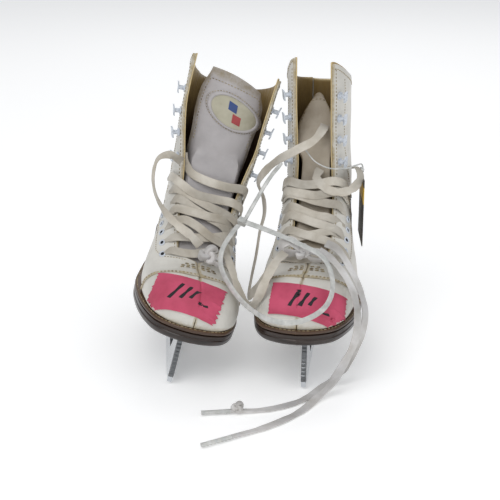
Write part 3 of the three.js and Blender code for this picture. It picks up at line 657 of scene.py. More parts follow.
def varnished_edge(name, colour, streak, rough):
    made, tree, surface = finish_named(name, IOR=1.5, Coat_Weight=0.22, Coat_Roughness=0.2)
    place = node(tree, "TexCoord").outputs["Object"]
    layers = node(tree, "Mapping", {"Vector": place, "Scale": (0.35, 0.35, 4)}).outputs[0]
    plies = node(tree, "TexNoise", {"Vector": layers, "Scale": 130, "Detail": 5, "Roughness": 0.65})
    share = node(tree, "MapRange", {"Value": plies.outputs["Fac"], "From Min": 0.42, "From Max": 0.75})
    wear = node(tree, "Attribute", attribute_name="wear").outputs["Fac"]
    total = node(tree, "Math", {0: share.outputs["Result"], 1: wear}, operation="MAXIMUM")
    mixed = colour_mix(tree, total.outputs[0], linear(colour), linear(streak))
    shine = node(tree, "MapRange", {"Value": plies.outputs["Fac"], "To Min": rough - 0.1,
                                    "To Max": rough + 0.15})
    bump = node(tree, "Bump", {"Height": plies.outputs["Fac"], "Distance": 0.0006, "Strength": 0.5})
    feed(tree, surface, mixed, shine, bump)
    return made


sole_varnish = varnished_edge("dark_brown_varnished_sole", "#1c110b", "#38251a", 0.3)
welt_varnish = varnished_edge("brown_varnished_welt", "#3c281a", "#60452d", 0.4)


def outline(inset, start=0.0, end=14.0):
    """Points of the sole's left and right edge from toe to heel, moved inwards by inset."""
    even = np.linspace(0, 1, SOLE_STEPS + 1)
    t = start + (end - start) * (0.5 - 0.5 * np.cos(math.pi * even))
    y = along(OUTLINE[:, 0], t)
    half = np.maximum(along(OUTLINE[:, 1], t), 0)
    normal = unit(np.stack([np.gradient(y), -np.gradient(half)], -1))
    half_in = half - inset * normal[:, 0] * (half > 0.5)
    y_in = y - inset * normal[:, 1]
    return y_in, np.maximum(half_in, 0.05)


def sole_part(name, boot, rings, finish, start=0.0, end=14.0, wear=None):
    """A solid of rings, top to bottom, each an inset with a height that follows y. Flat ends are closed."""
    points, shades = [], []
    for k, (inset, height) in enumerate(rings):
        y, half = outline(inset, start, end)
        z = height(y)
        left = np.stack([bend(boot, y) - half, y, z], -1)
        right = np.stack([bend(boot, y) + half, y, z], -1)
        points += [left, right]
        shades += [np.full(len(y) * 2, 0.0 if wear is None else wear[k])]
    n = SOLE_STEPS + 1
    faces = []
    for k in range(len(rings) - 1):
        for side in (0, 1):
            a, b = (2 * k + side) * n, (2 * (k + 1) + side) * n
            faces += [(a + i, a + i + 1, b + i + 1, b + i) for i in range(n - 1)]
        for i in (0, n - 1):
            faces.append((2 * k * n + i, (2 * k + 1) * n + i, (2 * k + 3) * n + i, (2 * k + 2) * n + i))
    for k in (0, len(rings) - 1):
        a, b = 2 * k * n, (2 * k + 1) * n
        faces += [(a + i, a + i + 1, b + i + 1, b + i) for i in range(n - 1)]
    piece = add_piece(name, in_pair(boot, np.concatenate(points)), faces, finish, np.concatenate(shades))
    return complete(piece, ("WELD", {"merge_threshold": 0.00008}), angle=50)


def sole_height(offset):
    return lambda y: feather_height(y) + offset


for boot_name, boot in BOOTS.items():
    welt = sole_part(boot_name + "_welt_strip", boot, [
        (7, sole_height(0.35)), (1.6, sole_height(0)), (0.7, sole_height(-0.25)), (0.1, sole_height(-0.9)),
        (0.1, sole_height(-2.1)), (0.8, sole_height(-2.9)), (7, sole_height(-3)),
    ], welt_varnish, wear=(0.5, 0.6, 0.8, 0.2, 0, 0, 0))
    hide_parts(boot_name + "_welt")
    ride_pair(welt)
    sole = sole_part(boot_name + "_outsole_stack", boot, [
        (6, sole_height(-3.2)), (1.5, sole_height(-3.2)), (0.5, sole_height(-3.9)), (0.35, sole_height(-6.2)),
        (1.15, sole_height(-6.8)), (1.15, sole_height(-7.3)), (0.5, sole_height(-7.9)),
        (0.7, sole_height(-10.6)),
        (1.9, sole_height(-12)), (6, sole_height(-12)),
    ], sole_varnish, wear=(0, 0.2, 0.5, 0, 0.75, 0.75, 0, 0, 0.3, 0))
    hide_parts(boot_name + "_outsole")
    ride_pair(sole)
    heel = sole_part(boot_name + "_heel_stack", boot, [
        (8, sole_height(-12.2)), (2.6, sole_height(-12.2)), (1.9, sole_height(-12.8)),
        (1.9, sole_height(-15)),
        (2.3, sole_height(-15.5)), (1.9, sole_height(-16)), (1.9, sole_height(-19)),
        (2.3, sole_height(-19.5)),
        (2.0, lambda y: 0 * y + HEEL_BOTTOM + 1.5), (2.6, lambda y: 0 * y + HEEL_BOTTOM),
        (8, lambda y: 0 * y + HEEL_BOTTOM),
    ], sole_varnish, start=9.05, end=13.6, wear=(0, 0, 0.3, 0, 0.6, 0, 0, 0.6, 0.2, 0, 0))
    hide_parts(boot_name + "_heel")
    ride_pair(heel)
    bed = sole_part(boot_name + "_footbed_pad", boot, [
        (14, sole_height(2.6)), (13.2, sole_height(2)), (13, sole_height(1)), (13, sole_height(0.5)),
        (16, sole_height(0.4)),
    ], tan_lining)
    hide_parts(boot_name + "_footbed")
    ride_pair(bed)

# ---- Blade --------------------------------------------------------------------------------------
# One stamped and brazed runner of carbon steel with its two plates, chromium plated and polished. The front
# of the toe post is cross-hatched by the grinder, and the ground edge at the foot is dull and dark.


def chromium(name, dull):
    made, tree, surface = finish_named(name, Metallic=1.0)
    surface.inputs["Base Color"].default_value = linear("#c9ccd0")
    place = node(tree, "TexCoord").outputs["Object"]
    handling = node(tree, "TexNoise", {"Vector": place, "Scale": 120, "Detail": 5, "Roughness": 0.65})
    rough = node(tree, "MapRange", {"Value": handling.outputs["Fac"], "From Min": 0.3, "From Max": 0.75,
                                    "To Min": 0.08 + dull, "To Max": 0.28 + dull})
    bump = node(tree, "Bump", {"Height": handling.outputs["Fac"], "Distance": 0.0002, "Strength": 0.4})
    feed(tree, surface, rough=rough, bump=bump)
    return made


BLADE_HALF = 1.9
chrome = chromium("polished_chromium_plate", 0.0)
dull_steel = chromium("ground_toe_steel", 0.16)
dull_steel.node_tree.nodes["Principled BSDF"].inputs["Base Color"].default_value = linear("#77797b")
for boot_name in BOOTS:
    for part in ("blade", "toe_plate", "heel_plate"):
        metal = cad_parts[f"{boot_name}_{part}"]
        metal.data.materials.clear()
        metal.data.materials.append(chrome)
        weld = metal.modifiers.new("weld", "WELD")
        weld.merge_threshold = 0.00002
        rounding = metal.modifiers.new("rounding", "BEVEL")
        rounding.width = 0.0004
        rounding.segments = 2
        rounding.angle_limit = math.radians(30)

RIBS = 11
for boot_name, boot in BOOTS.items():
    height = np.linspace(6.5, 40, RIBS * 12 + 1)
    front = np.interp(height, (1.5, 11, 17.9, 25.8, 34.4, 44), (-87.5, -89, -87.2, -85.5, -83.8, -82))
    tooth = 0.55 * np.abs(np.sin(math.pi * RIBS * (height - 6.5) / 33.5)) ** 0.7
    across = np.array([-1, -0.93, -0.8, 0, 0.8, 0.93, 1])
    proud = np.array([0, 0.75, 1, 1, 1, 0.75, 0])
    x = 0 * front[:, None] + across * (BLADE_HALF + 0.12)
    y = front[:, None] - 0.25 - tooth[:, None] * proud
    outer = np.stack([x, y, height[:, None] + 0 * x], -1)
    inner = outer + [0, 2.2, 0]
    ribs = shell(boot_name + "_toe_post_ribs", in_pair(boot, outer), in_pair(boot, inner), dull_steel,
                 bevel=0.05)
    ride_pair(ribs)

# ---- Stitching ----------------------------------------------------------------------------------
# Waxed thread in a lockstitch, gone tan with age. Each stitch is a short bar that dips into its needle holes.
STITCH = 1.9
STITCH_PITCH = 2.9
THREAD = 0.36  # radius


def waxed_thread():
    made, tree, surface = finish_named("tan_waxed_thread", Roughness=0.7)
    place = node(tree, "TexCoord").outputs["Object"]
    fade = node(tree, "TexNoise", {"Vector": place, "Scale": 260, "Detail": 2})
    share = node(tree, "MapRange", {"Value": fade.outputs["Fac"], "From Min": 0.35, "From Max": 0.65})
    mixed = colour_mix(tree, share.outputs["Result"], linear("#6f5f42"), linear("#b5a684"))
    feed(tree, surface, mixed)
    return made


thread = waxed_thread()


def even_steps(points, step):
    """Lengths along a line and how many whole steps fit in it."""
    lengths = np.concatenate([[0], np.cumsum(np.linalg.norm(np.diff(points, axis=0), axis=1))])
    return lengths, max(int(lengths[-1] // step), 1)


def stitch_row(points, normals, pitch=STITCH_PITCH, length=STITCH, radius=THREAD):
    """Corners and faces of stitches along a line of points in millimetres."""
    lengths, count = even_steps(points, pitch)
    centres = (np.arange(count) + 0.5) * lengths[-1] / count
    at = lambda track, where: np.stack([np.interp(where, lengths, track[:, k]) for k in range(3)], -1)
    middle = at(points, centres)
    ahead = unit(at(points, centres + 0.3) - at(points, centres - 0.3))
    up = unit(at(normals, centres))
    side = unit(np.cross(ahead, up))
    corners, faces = [], []
    for k, (position, size, sink) in enumerate(((-1, 0.5, 0.55), (-0.6, 1, 0), (0.6, 1, 0), (1, 0.5, 0.55))):
        for j in range(6):
            angle = math.pi * j / 3
            corners.append(middle + ahead * position * length / 2 + side * math.cos(angle) * radius * size
                           + up * (math.sin(angle) * radius * size - sink * radius))
    for k in range(3):
        faces += [(6 * k + j, 6 * k + (j + 1) % 6, 6 * k + 6 + (j + 1) % 6, 6 * k + 6 + j) for j in range(6)]
    faces += [tuple(range(6)), tuple(range(23, 17, -1))]
    corners = np.stack(corners, 1).reshape(-1, 3)
    return corners, [[24 * i + f for f in face] for i in range(count) for face in faces]


def gather(rows):
    """Several rows of stitches as one set of corners and faces."""
    corners, faces, first = [], [], 0
    for some_corners, some_faces in rows:
        corners.append(some_corners)
        faces += [[first + f for f in face] for face in some_faces]
        first += len(some_corners)
    return np.concatenate(corners), faces


def on_quarter(boot, side, s, a, lift=0.1):
    """A line on a quarter's face at the stations and angles given, with its normals."""
    p = last_point(boot, s, side * a)
    bumps = leather_bumps(p)
    return skin(boot, s, side * a, bumps + lift), last_normal(boot, s, side * a)


EYESTAY = 21  # from the facing edge to the row that holds the eyelets' backing strip
for boot_name, boot in BOOTS.items():
    rows = []
    for side in (-1, 1):
        t = np.linspace(0.02, 0.985, 90)
        for inset in (0.035, 0.085):  # twin rows along the lap over the vamp
            s = seam_station(t) - LAP + inset
            first = facing_angle(boot, s)
            a = first + (rear_angle(boot, s) - 0.02 - first) * t
            rows.append(stitch_row(*on_quarter(boot, side, s, a, 1.3)))
        s = np.linspace(5.35, 12.75, 160)  # along the facing edge
        edge = facing_angle(boot, s) + 2.4 / along(LAST[4], s)
        rows.append(stitch_row(*on_quarter(boot, side, s, edge)))
        s = np.linspace(5.0, 12.6, 160)  # the backing strip's row, curving in under the lowest eyelet
        inset = EYESTAY * np.sqrt(np.clip((s - 4.93) / 0.75, 0, 1))
        away = facing_angle(boot, s) + inset * (1 - 0.45 * smooth((s - 8.5) / 2)) / along(LAST[4], s)
        rows.append(stitch_row(*on_quarter(boot, side, s, away), pitch=2.3, length=1.5, radius=0.28))
        t = np.linspace(0.03, 0.97, 90) ** 1.25  # under the collar
        s = collar_station(t, side) - 0.13
        first = facing_angle(boot, s)
        rows.append(stitch_row(*on_quarter(boot, side, s, first + (rear_angle(boot, s) - first) * t)))
        for k, reach in enumerate((15, 14, 11)):  # short rows that hold the throat
            s = np.full(24, 4.5 + 0.14 * k)
            x = np.linspace(1.6, reach, 24)
            row_line = on_quarter(boot, side, s, angle_at(s, x), 0.7)
            rows.append(stitch_row(*row_line, pitch=4.1, length=3.0, radius=0.42))
        t = np.linspace(BACKSTAY_START + 0.1, COLLAR - 0.12, 120)
        p = skin(boot, t, side * (rear_angle(boot, t) - 0.02), 1.1)
        rows.append(stitch_row(p, last_normal(boot, t, side * (rear_angle(boot, t) - 0.02))))
    corners, faces = gather(rows)
    piece = add_piece(boot_name + "_upper_stitching", in_pair(boot, corners), faces, thread)
    ride_pair(complete(piece, angle=60))
    spec = TONGUES[boot_name]
    w = np.linspace(1.12, 1.88, 70)
    rows = []
    for u, w in ((-0.88 + 0 * w, w), (0.88 + 0 * w, w), (np.linspace(-0.86, 0.86, 50), np.full(50, 1.88))):
        depth = 0.2 - crumple(tongue_surface(boot, spec, u, w, 0), 20, 0.6, 4.4)
        p = tongue_surface(boot, spec, u, w, depth)
        outward = p - tongue_surface(boot, spec, u, w, depth + 1)
        rows.append(stitch_row(p, outward, pitch=2.6, length=1.7, radius=0.3))
    corners, faces = gather(rows)
    piece = add_piece(boot_name + "_tongue_stitching", in_pair(boot, corners), faces, thread)
    complete(piece, angle=60)
    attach(piece, boot_name + "_tongue_flap")
    rows = []
    y, half = outline(1.5)
    for side in (-1, 1):
        p = np.stack([bend(boot, y) + side * half, y, feather_height(y) + 0.12], -1)[4:-4]
        rows.append(stitch_row(p, np.tile([0.0, 0, 1], (len(p), 1)), pitch=3.4, length=2.4))
    corners, faces = gather(rows)
    piece = add_piece(boot_name + "_welt_stitching", in_pair(boot, corners), faces, thread)
    ride_pair(complete(piece, angle=60))

# ---- Eyelets ------------------------------------------------------------------------------------
# Five pressed brass eyelets a side, coated white, with a rolled rim. A near-black disc fills each hole as a
# painted shade of the hole.
EYELET_FIRST = 5.35
EYELET_STEP = 0.5
EYELET_ROWS = 5
EYELET_INSET = 11
EYELET_RIM = 3.0
EYELET_TUBE = 0.75
RIM_SHARE = 0.72  # the rolled rim's middle line and the disc of painted shade in its hole, as shares of the rim's radius
HOLE_DISC_SHARE = 0.62


def baked_coat(name, colour, rough):
    made, tree, surface = finish_named(name, IOR=1.5, Coat_Weight=0.3, Coat_Roughness=0.15)
    place = node(tree, "TexCoord").outputs["Object"]
    rubs = node(tree, "TexNoise", {"Vector": place, "Scale": 420, "Detail": 4, "Roughness": 0.7})
    share = node(tree, "MapRange", {"Value": rubs.outputs["Fac"], "From Min": 0.5, "From Max": 0.72})
    mixed = colour_mix(tree, share.outputs["Result"], linear(colour), linear("#8d939b"))
    shine = node(tree, "MapRange", {"Value": rubs.outputs["Fac"], "To Min": rough, "To Max": rough + 0.25})
    feed(tree, surface, mixed, shine)
    return made


white_coat = baked_coat("white_baked_enamel", "#ccd2da", 0.25)
# Near-black for the disc in each eyelet's hole: a painted shade of the hole.
painted_hole_shade, tree, surface = finish_named("painted_hole_shade", Roughness=0.8)
surface.inputs["Base Color"].default_value = linear("#14161c")


def placed(piece, boot, spot, along_it, outward):
    """Moves a template's copy to the spot, with its +Z outward and its +Y along the facing."""
    z = unit(np.asarray(outward, float))
    x = unit(np.cross(np.asarray(along_it, float), z))
    y = np.cross(z, x)
    count = len(piece.data.vertices)
    flat = np.zeros(count * 3)
    piece.data.vertices.foreach_get("co", flat)
    local = flat.reshape(-1, 3) / MM
    piece.data.vertices.foreach_set("co", in_pair(boot, spot + local @ np.stack([x, y, z])).ravel())
    piece.data.update()
    return piece


def copy_of(template, name):
    made = template.copy()
    made.data = template.data.copy()
    made.name = name
    bpy.context.scene.collection.objects.link(made)
    return made


def joined_with(first, *others):
    only(first)
    for other in others:
        other.select_set(True)
    bpy.ops.object.join()
    return first


bpy.ops.object.select_all(action="DESELECT")
bpy.ops.mesh.primitive_torus_add(major_radius=EYELET_RIM * RIM_SHARE * MM, minor_radius=EYELET_TUBE * MM,
                                 major_segments=28, minor_segments=10)
rim = bpy.context.object
rim.data.materials.append(white_coat)
# A solid disc across the hole, coloured near-black as the hole's painted shade.
bpy.ops.mesh.primitive_cylinder_add(vertices=24, radius=EYELET_RIM * HOLE_DISC_SHARE * MM, depth=0.5 * MM)
hole_disc = bpy.context.object
hole_disc.data.materials.append(painted_hole_shade)
eyelet_template = joined_with(rim, hole_disc)
complete(eyelet_template, angle=50)


def quarter_spot(boot, side, s, inset, lift):
    """A spot on a quarter, inset from the facing edge, with the directions up the facing and outwards."""
    s = np.array([s, s + 0.05])
    a = side * angle_at(s, facing_half(boot, s) + inset)
    p = last_point(boot, s, a)
    bumps = leather_bumps(p)
    p = skin(boot, s, a, bumps + lift)
    return p[0], p[1] - p[0], last_normal(boot, s[:1], a[:1])[0]


for boot_name, boot in BOOTS.items():
    for side in (-1, 1):
        for row in range(EYELET_ROWS):
            spot, up, out = quarter_spot(boot, side, EYELET_FIRST + row * EYELET_STEP, EYELET_INSET, 0.15)
            label = "inner" if side == boot["inner"] else "outer"
            piece = placed(copy_of(eyelet_template, f"{boot_name}_eyelet_{label}_{row + 1}"), boot, spot,
                           up, out)
            ride_pair(piece)
bpy.data.objects.remove(eyelet_template)

# ---- Lace hooks ---------------------------------------------------------------------------------
# Four riveted speed hooks a side, of pressed steel with a white coat: a round foot with the rivet's head, a
# narrow neck, and a plate whose two ends curl back to keep the lace in.
HOOK_STATIONS = (9.2, 10.35, 11.4, 12.2)
HOOK_INSET = 4
bpy.ops.mesh.primitive_cylinder_add(vertices=24, radius=3.3 * MM, depth=0.9 * MM, location=(0, 0, 0.45 * MM))
foot = bpy.context.object
bpy.ops.object.transform_apply(location=True)
complete(foot, ("BEVEL", {"width": 0.3 * MM, "segments": 2}), angle=35)
bpy.ops.mesh.primitive_cylinder_add(vertices=16, radius=1.8 * MM, depth=5.2 * MM, location=(0, 0, 3.0 * MM))
neck = bpy.context.object
bpy.ops.object.transform_apply(location=True)
bpy.ops.mesh.primitive_cube_add(size=1, location=(0, 0, 5.6 * MM))
plate = bpy.context.object
plate.scale = (4.6 * MM, 9.4 * MM, 1.1 * MM)
bpy.ops.object.transform_apply(location=True, scale=True)
bpy.ops.object.mode_set(mode="EDIT")
bpy.ops.mesh.select_all(action="SELECT")
bpy.ops.mesh.subdivide(number_cuts=7)
bpy.ops.object.mode_set(mode="OBJECT")
for vertex in plate.data.vertices:
    share = abs(vertex.co.y) / (4.7 * MM)
    vertex.co.x *= 1 - 0.42 * share ** 3
    vertex.co.z += (0.9 * share ** 2 if vertex.co.y > 0 else -0.7 * share ** 2.5) * MM
complete(plate, ("BEVEL", {"width": 0.3 * MM, "segments": 2, "limit_method": "ANGLE", "angle_limit": 1.0}),
         angle=45)
hook_template = joined_with(foot, neck, plate)
hook_template.data.materials.clear()
hook_template.data.materials.append(white_coat)
for boot_name, boot in BOOTS.items():
    for side in (-1, 1):
        label = "inner" if side == boot["inner"] else "outer"
        for k, s in enumerate(HOOK_STATIONS):
            spot, up, out = quarter_spot(boot, side, s, HOOK_INSET, 0.1)
            piece = placed(copy_of(hook_template, f"{boot_name}_speed_hook_{label}_{k + 1}"), boot, spot,
                           up, out)
            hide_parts(f"{boot_name}_hook_{label}_{k + 1}")
            ride_pair(piece)
bpy.data.objects.remove(hook_template)

# ---- Lacing -------------------------------------------------------------------------------------
# Flat woven cotton lace, 7 mm wide, once white and now beige. It crosses from side to side through the
# eyelets, and the top crossings lie slack over the facings.
LACE_WIDTH = 7.2
LACE_EDGE_POWER = 0.6  # 1 would be round, and less is squarer
LACE_FACE_POWER = 0.75
LACE_THICK = 1.5
YARN = 1.5  # spacing of the weave's ribs in millimetres; 0.7 on the real lace, drawn coarser so that it shows


def woven_cotton(name, colour, dirty):
    made, tree, surface = finish_named(name, Roughness=0.85, Sheen_Weight=0.25, Sheen_Roughness=0.5)
    uv = node(tree, "UVMap").outputs["UV"]
    ribs = node(tree, "TexWave", {"Vector": uv, "Scale": 1000 / YARN / 20 * 0.33, "Distortion": 0.6,
                                  "Detail": 1},
                wave_type="BANDS", bands_direction="DIAGONAL")
    cross = node(tree, "TexWave", {"Vector": node(tree, "Mapping",
                                                  {"Vector": uv, "Scale": (1, -1, 1)}).outputs[0],
                                   "Scale": 1000 / YARN / 20 * 0.33, "Distortion": 0.6, "Detail": 1},
                 wave_type="BANDS", bands_direction="DIAGONAL")
    weave = node(tree, "Math", {0: ribs.outputs["Fac"], 1: cross.outputs["Fac"]}, operation="MAXIMUM")
    place = node(tree, "TexCoord").outputs["Object"]
    soil = node(tree, "TexNoise", {"Vector": place, "Scale": 55, "Detail": 5, "Roughness": 0.6})
    share = node(tree, "MapRange", {"Value": soil.outputs["Fac"], "From Min": 0.35, "From Max": 0.7})
    base = colour_mix(tree, share.outputs["Result"], linear(colour), linear(dirty))
    shade = node(tree, "MapRange", {"Value": weave.outputs[0], "To Min": 0.72, "To Max": 1.0})
    mixed = node(tree, "Mix", {0: 1.0, 6: base.outputs[2], 7: shade.outputs["Result"]}, data_type="RGBA",
                 blend_type="MULTIPLY")
    bump = node(tree, "Bump", {"Height": weave.outputs[0], "Distance": 0.0004, "Strength": 0.7})
    feed(tree, surface, mixed, bump=bump)
    return made


beige_lace = woven_cotton("beige_woven_cotton", "#d5cfc3", "#b3aa9a")
white_lace = woven_cotton("white_woven_cotton", "#dcdad9", "#bab6b0")


def rounded_line(points, step=1.5):
    """A smooth line through given points, centripetal so that it never overshoots, in even steps."""
    points = np.asarray(points, float)
    padded = np.concatenate([2 * points[:1] - points[1:2], points, 2 * points[-1:] - points[-2:-1]])
    line = []
    for a, b, c, d in zip(padded, padded[1:], padded[2:], padded[3:]):
        chords = [max(np.linalg.norm(q - p), 1e-3) ** 0.5 for p, q in ((a, b), (b, c), (c, d))]
        knots = np.cumsum([0, *chords])
        t = np.linspace(knots[1], knots[2], 12, endpoint=False)[:, None]
        mix = lambda p, q, i, j: ((knots[j] - t) * p + (t - knots[i]) * q) / (knots[j] - knots[i])
        ab, bc, cd = mix(a, b, 0, 1), mix(b, c, 1, 2), mix(c, d, 2, 3)
        line.append(mix(mix(ab, bc, 0, 2), mix(bc, cd, 1, 3), 1, 2))
    line = np.concatenate([*line, points[-1:]])
    lengths, count = even_steps(line, step)
    where = np.linspace(0, lengths[-1], count + 1)
    return np.stack([np.interp(where, lengths, line[:, k]) for k in range(3)], -1), where / lengths[-1]


def lace_band(points, ups, width=LACE_WIDTH, thick=LACE_THICK, section=14, cup=0.0):
    """Corners, faces and UVs of a flat lace along a line. ups face away from its flat side, one per point."""
    n = len(points)
    width = np.broadcast_to(width, n)[:, None]
    thick = np.broadcast_to(thick, n)[:, None]
    ahead = unit(np.gradient(points, axis=0))
    side = unit(np.cross(ahead, ups))
    up = np.cross(side, ahead)
    angles = 2 * math.pi * np.arange(section) / section
    rings = []
    for angle in angles:
        x = np.sign(math.cos(angle)) * abs(math.cos(angle)) ** LACE_EDGE_POWER
        y = np.sign(math.sin(angle)) * abs(math.sin(angle)) ** LACE_FACE_POWER
        rings.append(points + side * x * width / 2 + up * (y * thick / 2 + cup * (x ** 2 - 0.4)))
    corners = np.stack(rings, 1)
    lengths, _ = even_steps(points, 1)
    around = np.tile(np.cos(angles) * LACE_WIDTH / 2, (n, 1))
    uv = np.stack([np.repeat(lengths[:, None], section, 1), around], -1) * MM
    faces = []
    for i in range(n - 1):
        for j in range(section):
            k = (j + 1) % section
            faces.append([i * section + j, i * section + k, (i + 1) * section + k, (i + 1) * section + j])
    faces += [list(range(section)), list(range(n * section - 1, (n - 1) * section - 1, -1))]
    return corners.reshape(-1, 3), faces, uv.reshape(-1, 2)


def gather_bands(bands):
    corners, faces = gather([band[:2] for band in bands])
    return corners, faces, np.concatenate([band[2] for band in bands])


def over_front(boot, s, x, lift):
    """A spot over the boot's front: on a facing, or on the straight line between the two facings."""
    half = facing_half(boot, s)
    edges = [side * angle_at(s, half) for side in (-1, 1)]
    if abs(x) >= half:
        a = math.copysign(1, x) * angle_at(s, x)
        return skin(boot, s, a, lift), last_normal(boot, s, a)
    share = (x + half) / (2 * half)
    low, high = (last_normal(boot, s, a) for a in edges)
    up = unit(low * (1 - share) + high * share + [0, -0.4, 0.2])
    p, q = (last_point(boot, s, a) for a in edges)
    return p * (1 - share) + q * share + up * lift, up


def crossing(boot, *route, width=LACE_WIDTH, cup=0.3):
    """A lace over the front through spots, each a station, a distance from the centre line and a lift."""
    spots = [over_front(boot, s, x, lift) for s, x, lift in route]
    line, share = rounded_line([p for p, _ in spots])
    at = np.linspace(0, 1, len(spots))
    ups = np.stack([np.interp(share, at, [up[k] for _, up in spots]) for k in range(3)], -1)
    pinch = np.minimum(smooth(share / 0.12), smooth((1 - share) / 0.12))
    return lace_band(line, unit(ups), width * (0.45 + 0.55 * pinch), LACE_THICK * (1.5 - 0.5 * pinch),
                     cup=cup)


# Each crossing: (station, across, lift) from the wearer's right to left as seen from the toe.
CROSSINGS = {
    "right": [
        ((5.35, -26, -0.5), (5.36, -21, 1.3), (5.3, -13, 1.6), (5.36, -4, 1.2), (5.5, 5, 1.6),
         (5.42, 14, 1.8), (5.36, 22, 1.3), (5.35, 27, -0.5)),
        ((5.85, -26.5, -0.5), (5.84, -20, 1.3), (5.88, -13, 1.6), (5.98, -2, 1.2), (6.14, 10, 1.4),
         (6.3, 19, 1.6), (6.35, 26.5, -0.5)),
        ((6.35, -26.5, -0.5), (6.44, -20, 1.3), (6.52, -13, 1.8), (6.38, -4, 2.6), (6.12, 6, 2.8),
         (5.9, 18, 2.2), (5.85, 26.5, -0.5)),
        ((7.35, -24, -0.5), (7.24, -18, 1.4), (7.02, -8, 1.4), (6.8, 4, 1.2), (6.6, 14, 1.6),
         (6.38, 26, -0.5)),
        ((6.85, -26, -0.5), (6.88, -19, 2.2), (6.86, -10, 2.4), (6.84, 2, 2.6), (6.82, 14, 2.4),
         (6.85, 26, -0.5)),
        ((7.9, -25, 0.4), (7.62, -19, 2.4), (7.42, -10, 3.0), (7.2, 2, 3.0), (7.05, 14, 2.6),
         (6.98, 21, 2.2), (7.0, 26, 0)),
        ((8.75, -25.5, 1.2), (8.3, -22, 2.6), (7.75, -16, 3.6), (7.52, -8, 4.0), (7.5, 3, 4.0),
         (7.52, 14, 3.4), (7.6, 22, 2.4), (7.7, 27, 0.5)),
        ((9.1, -16, -3.5), (8.66, -15, -2.4), (8.3, -12, -0.4), (8.1, -3, 2.6), (8.05, 8, 3.6),
         (8.1, 17, 2.6), (8.25, 23, 1.6), (8.4, 27, -0.3)),
    ],
    "left": [
        ((5.35, -26, -0.5), (5.3, -20, 1.4), (5.2, -12, 1.6), (5.2, 0, 1.2), (5.24, 12, 1.4),
         (5.34, 21, 1.4), (5.35, 26, -0.5)),
        ((6.35, -26, -0.5), (6.26, -18, 1.8), (6.1, -8, 2.6), (5.96, 4, 3.0), (5.84, 14, 2.6),
         (5.74, 22, 2.2), (5.5, 31, 1.2)),
        ((5.85, -26, -0.5), (5.92, -18, 1.4), (6.02, -8, 1.2), (6.14, 4, 1.2), (6.26, 15, 1.4),
         (6.35, 26, -0.5)),
        ((6.85, -26, -0.5), (6.82, -18, 1.6), (6.68, -10, 2.4), (6.5, 2, 2.6), (6.4, 12, 2.0),
         (6.35, 20, 1.6), (6.3, 25, -0.5)),
        ((7.35, -25.5, -0.5), (7.1, -17, 1.6), (6.92, -8, 1.4), (6.78, 2, 1.4), (6.72, 12, 1.6),
         (6.85, 25, -0.5)),
        ((7.85, -26, 0.2), (7.62, -19, 2.6), (7.44, -10, 3.4), (7.3, 0, 3.4), (7.22, 10, 3.0),
         (7.24, 18, 2.4), (7.35, 25, -0.5)),
        ((8.1, -26.5, 1.2), (7.78, -20, 3.0), (7.52, -10, 4.2), (7.46, 2, 4.2), (7.6, 12, 3.4),
         (7.8, 20, 2.4), (7.95, 26, 0.5)),
        ((8.95, -26.4, 0.6), (8.5, -24.5, 2.6), (8.0, -17, 4.2), (7.82, -8, 4.8), (7.86, 3, 4.8),
         (8.0, 13, 4.2), (8.25, 21.5, 2.8), (8.6, 26.5, 0.8)),
    ],
}
for boot_name, boot in BOOTS.items():
    corners, faces, uv = gather_bands([crossing(boot, *route) for route in CROSSINGS[boot_name]])
    piece = add_piece(boot_name + "_lace_crossings", in_pair(boot, corners), faces, beige_lace, uv=uv)
    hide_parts(boot_name + "_lacing")
    ride_pair(complete(piece, angle=60))

# ---- Free laces ---------------------------------------------------------------------------------
# The lace's slack: a loop at each outer side, a loop that hangs between the toes, the stretch that ties the
# boots together, and the two ends. Each is a flat band that twists a little on its way. Routes are in the
# pair's frame in millimetres, and the twist says how far the flat side has turned from the way it starts.
ROUTES = {
    "lace_loop_right": [
        (-55, 14, 154), (-64, 8, 161), (-73, 4, 159), (-77, 0, 148), (-76, -4, 134), (-69, -10, 121),
        (-57, -20, 111), (-46, -28, 105), (-39, -34, 99),
    ],
    "lace_hang_front": [
        (-25, -38, 94), (-19, -42, 94), (-15, -48, 87), (-11, -56, 77), (-5, -66, 67), (1, -76, 66),
        (6, -80, 74),
        (10, -78, 83), (15, -70, 91), (21, -62, 98), (27, -55, 101),
    ],
    "lace_cross": [
        (60, 17, 183), (58, 9, 182), (50, -1, 175), (36, -4, 168), (21, 0, 158), (10, 10, 144), (7, 21, 132),
        (11, 23, 121), (12, 15, 110), (8, 6, 96), (5, -7, 81), (1, -21, 66), (-1, -34, 58), (0, -46, 62),
        (5, -58, 73), (12, -63, 84), (18, -59, 92),
    ],
    "lace_tail_a": [
        (59, -42, 104), (67, -46, 101), (77, -54, 88), (84, -66, 75), (88, -72, 59), (85, -77, 40),
        (76, -80, 22),
        (67, -80, 8), (54, -89, 2.6), (39, -106, 2.6), (21, -117, 2.6), (1, -123, 2.6), (-15, -125, 2.6),
    ],
    "lace_tail_b": [
        (53, -47, 100), (62, -54, 96), (71, -64, 88), (78, -77, 77), (81, -85, 62), (79, -90, 43),
        (70, -94, 24),
        (60, -97, 8), (49, -107, 2.6), (35, -126, 2.6), (16, -143, 2.6), (0, -154, 2.6), (-14, -163, 2.6),
    ],
    "lace_loop_left": [
        (56, 2, 151), (53, -1, 145), (59, -6, 138), (72, -6, 134), (83, 0, 136), (89, 8, 143), (86, 13, 149),
        (82, 17, 148),
    ],
}
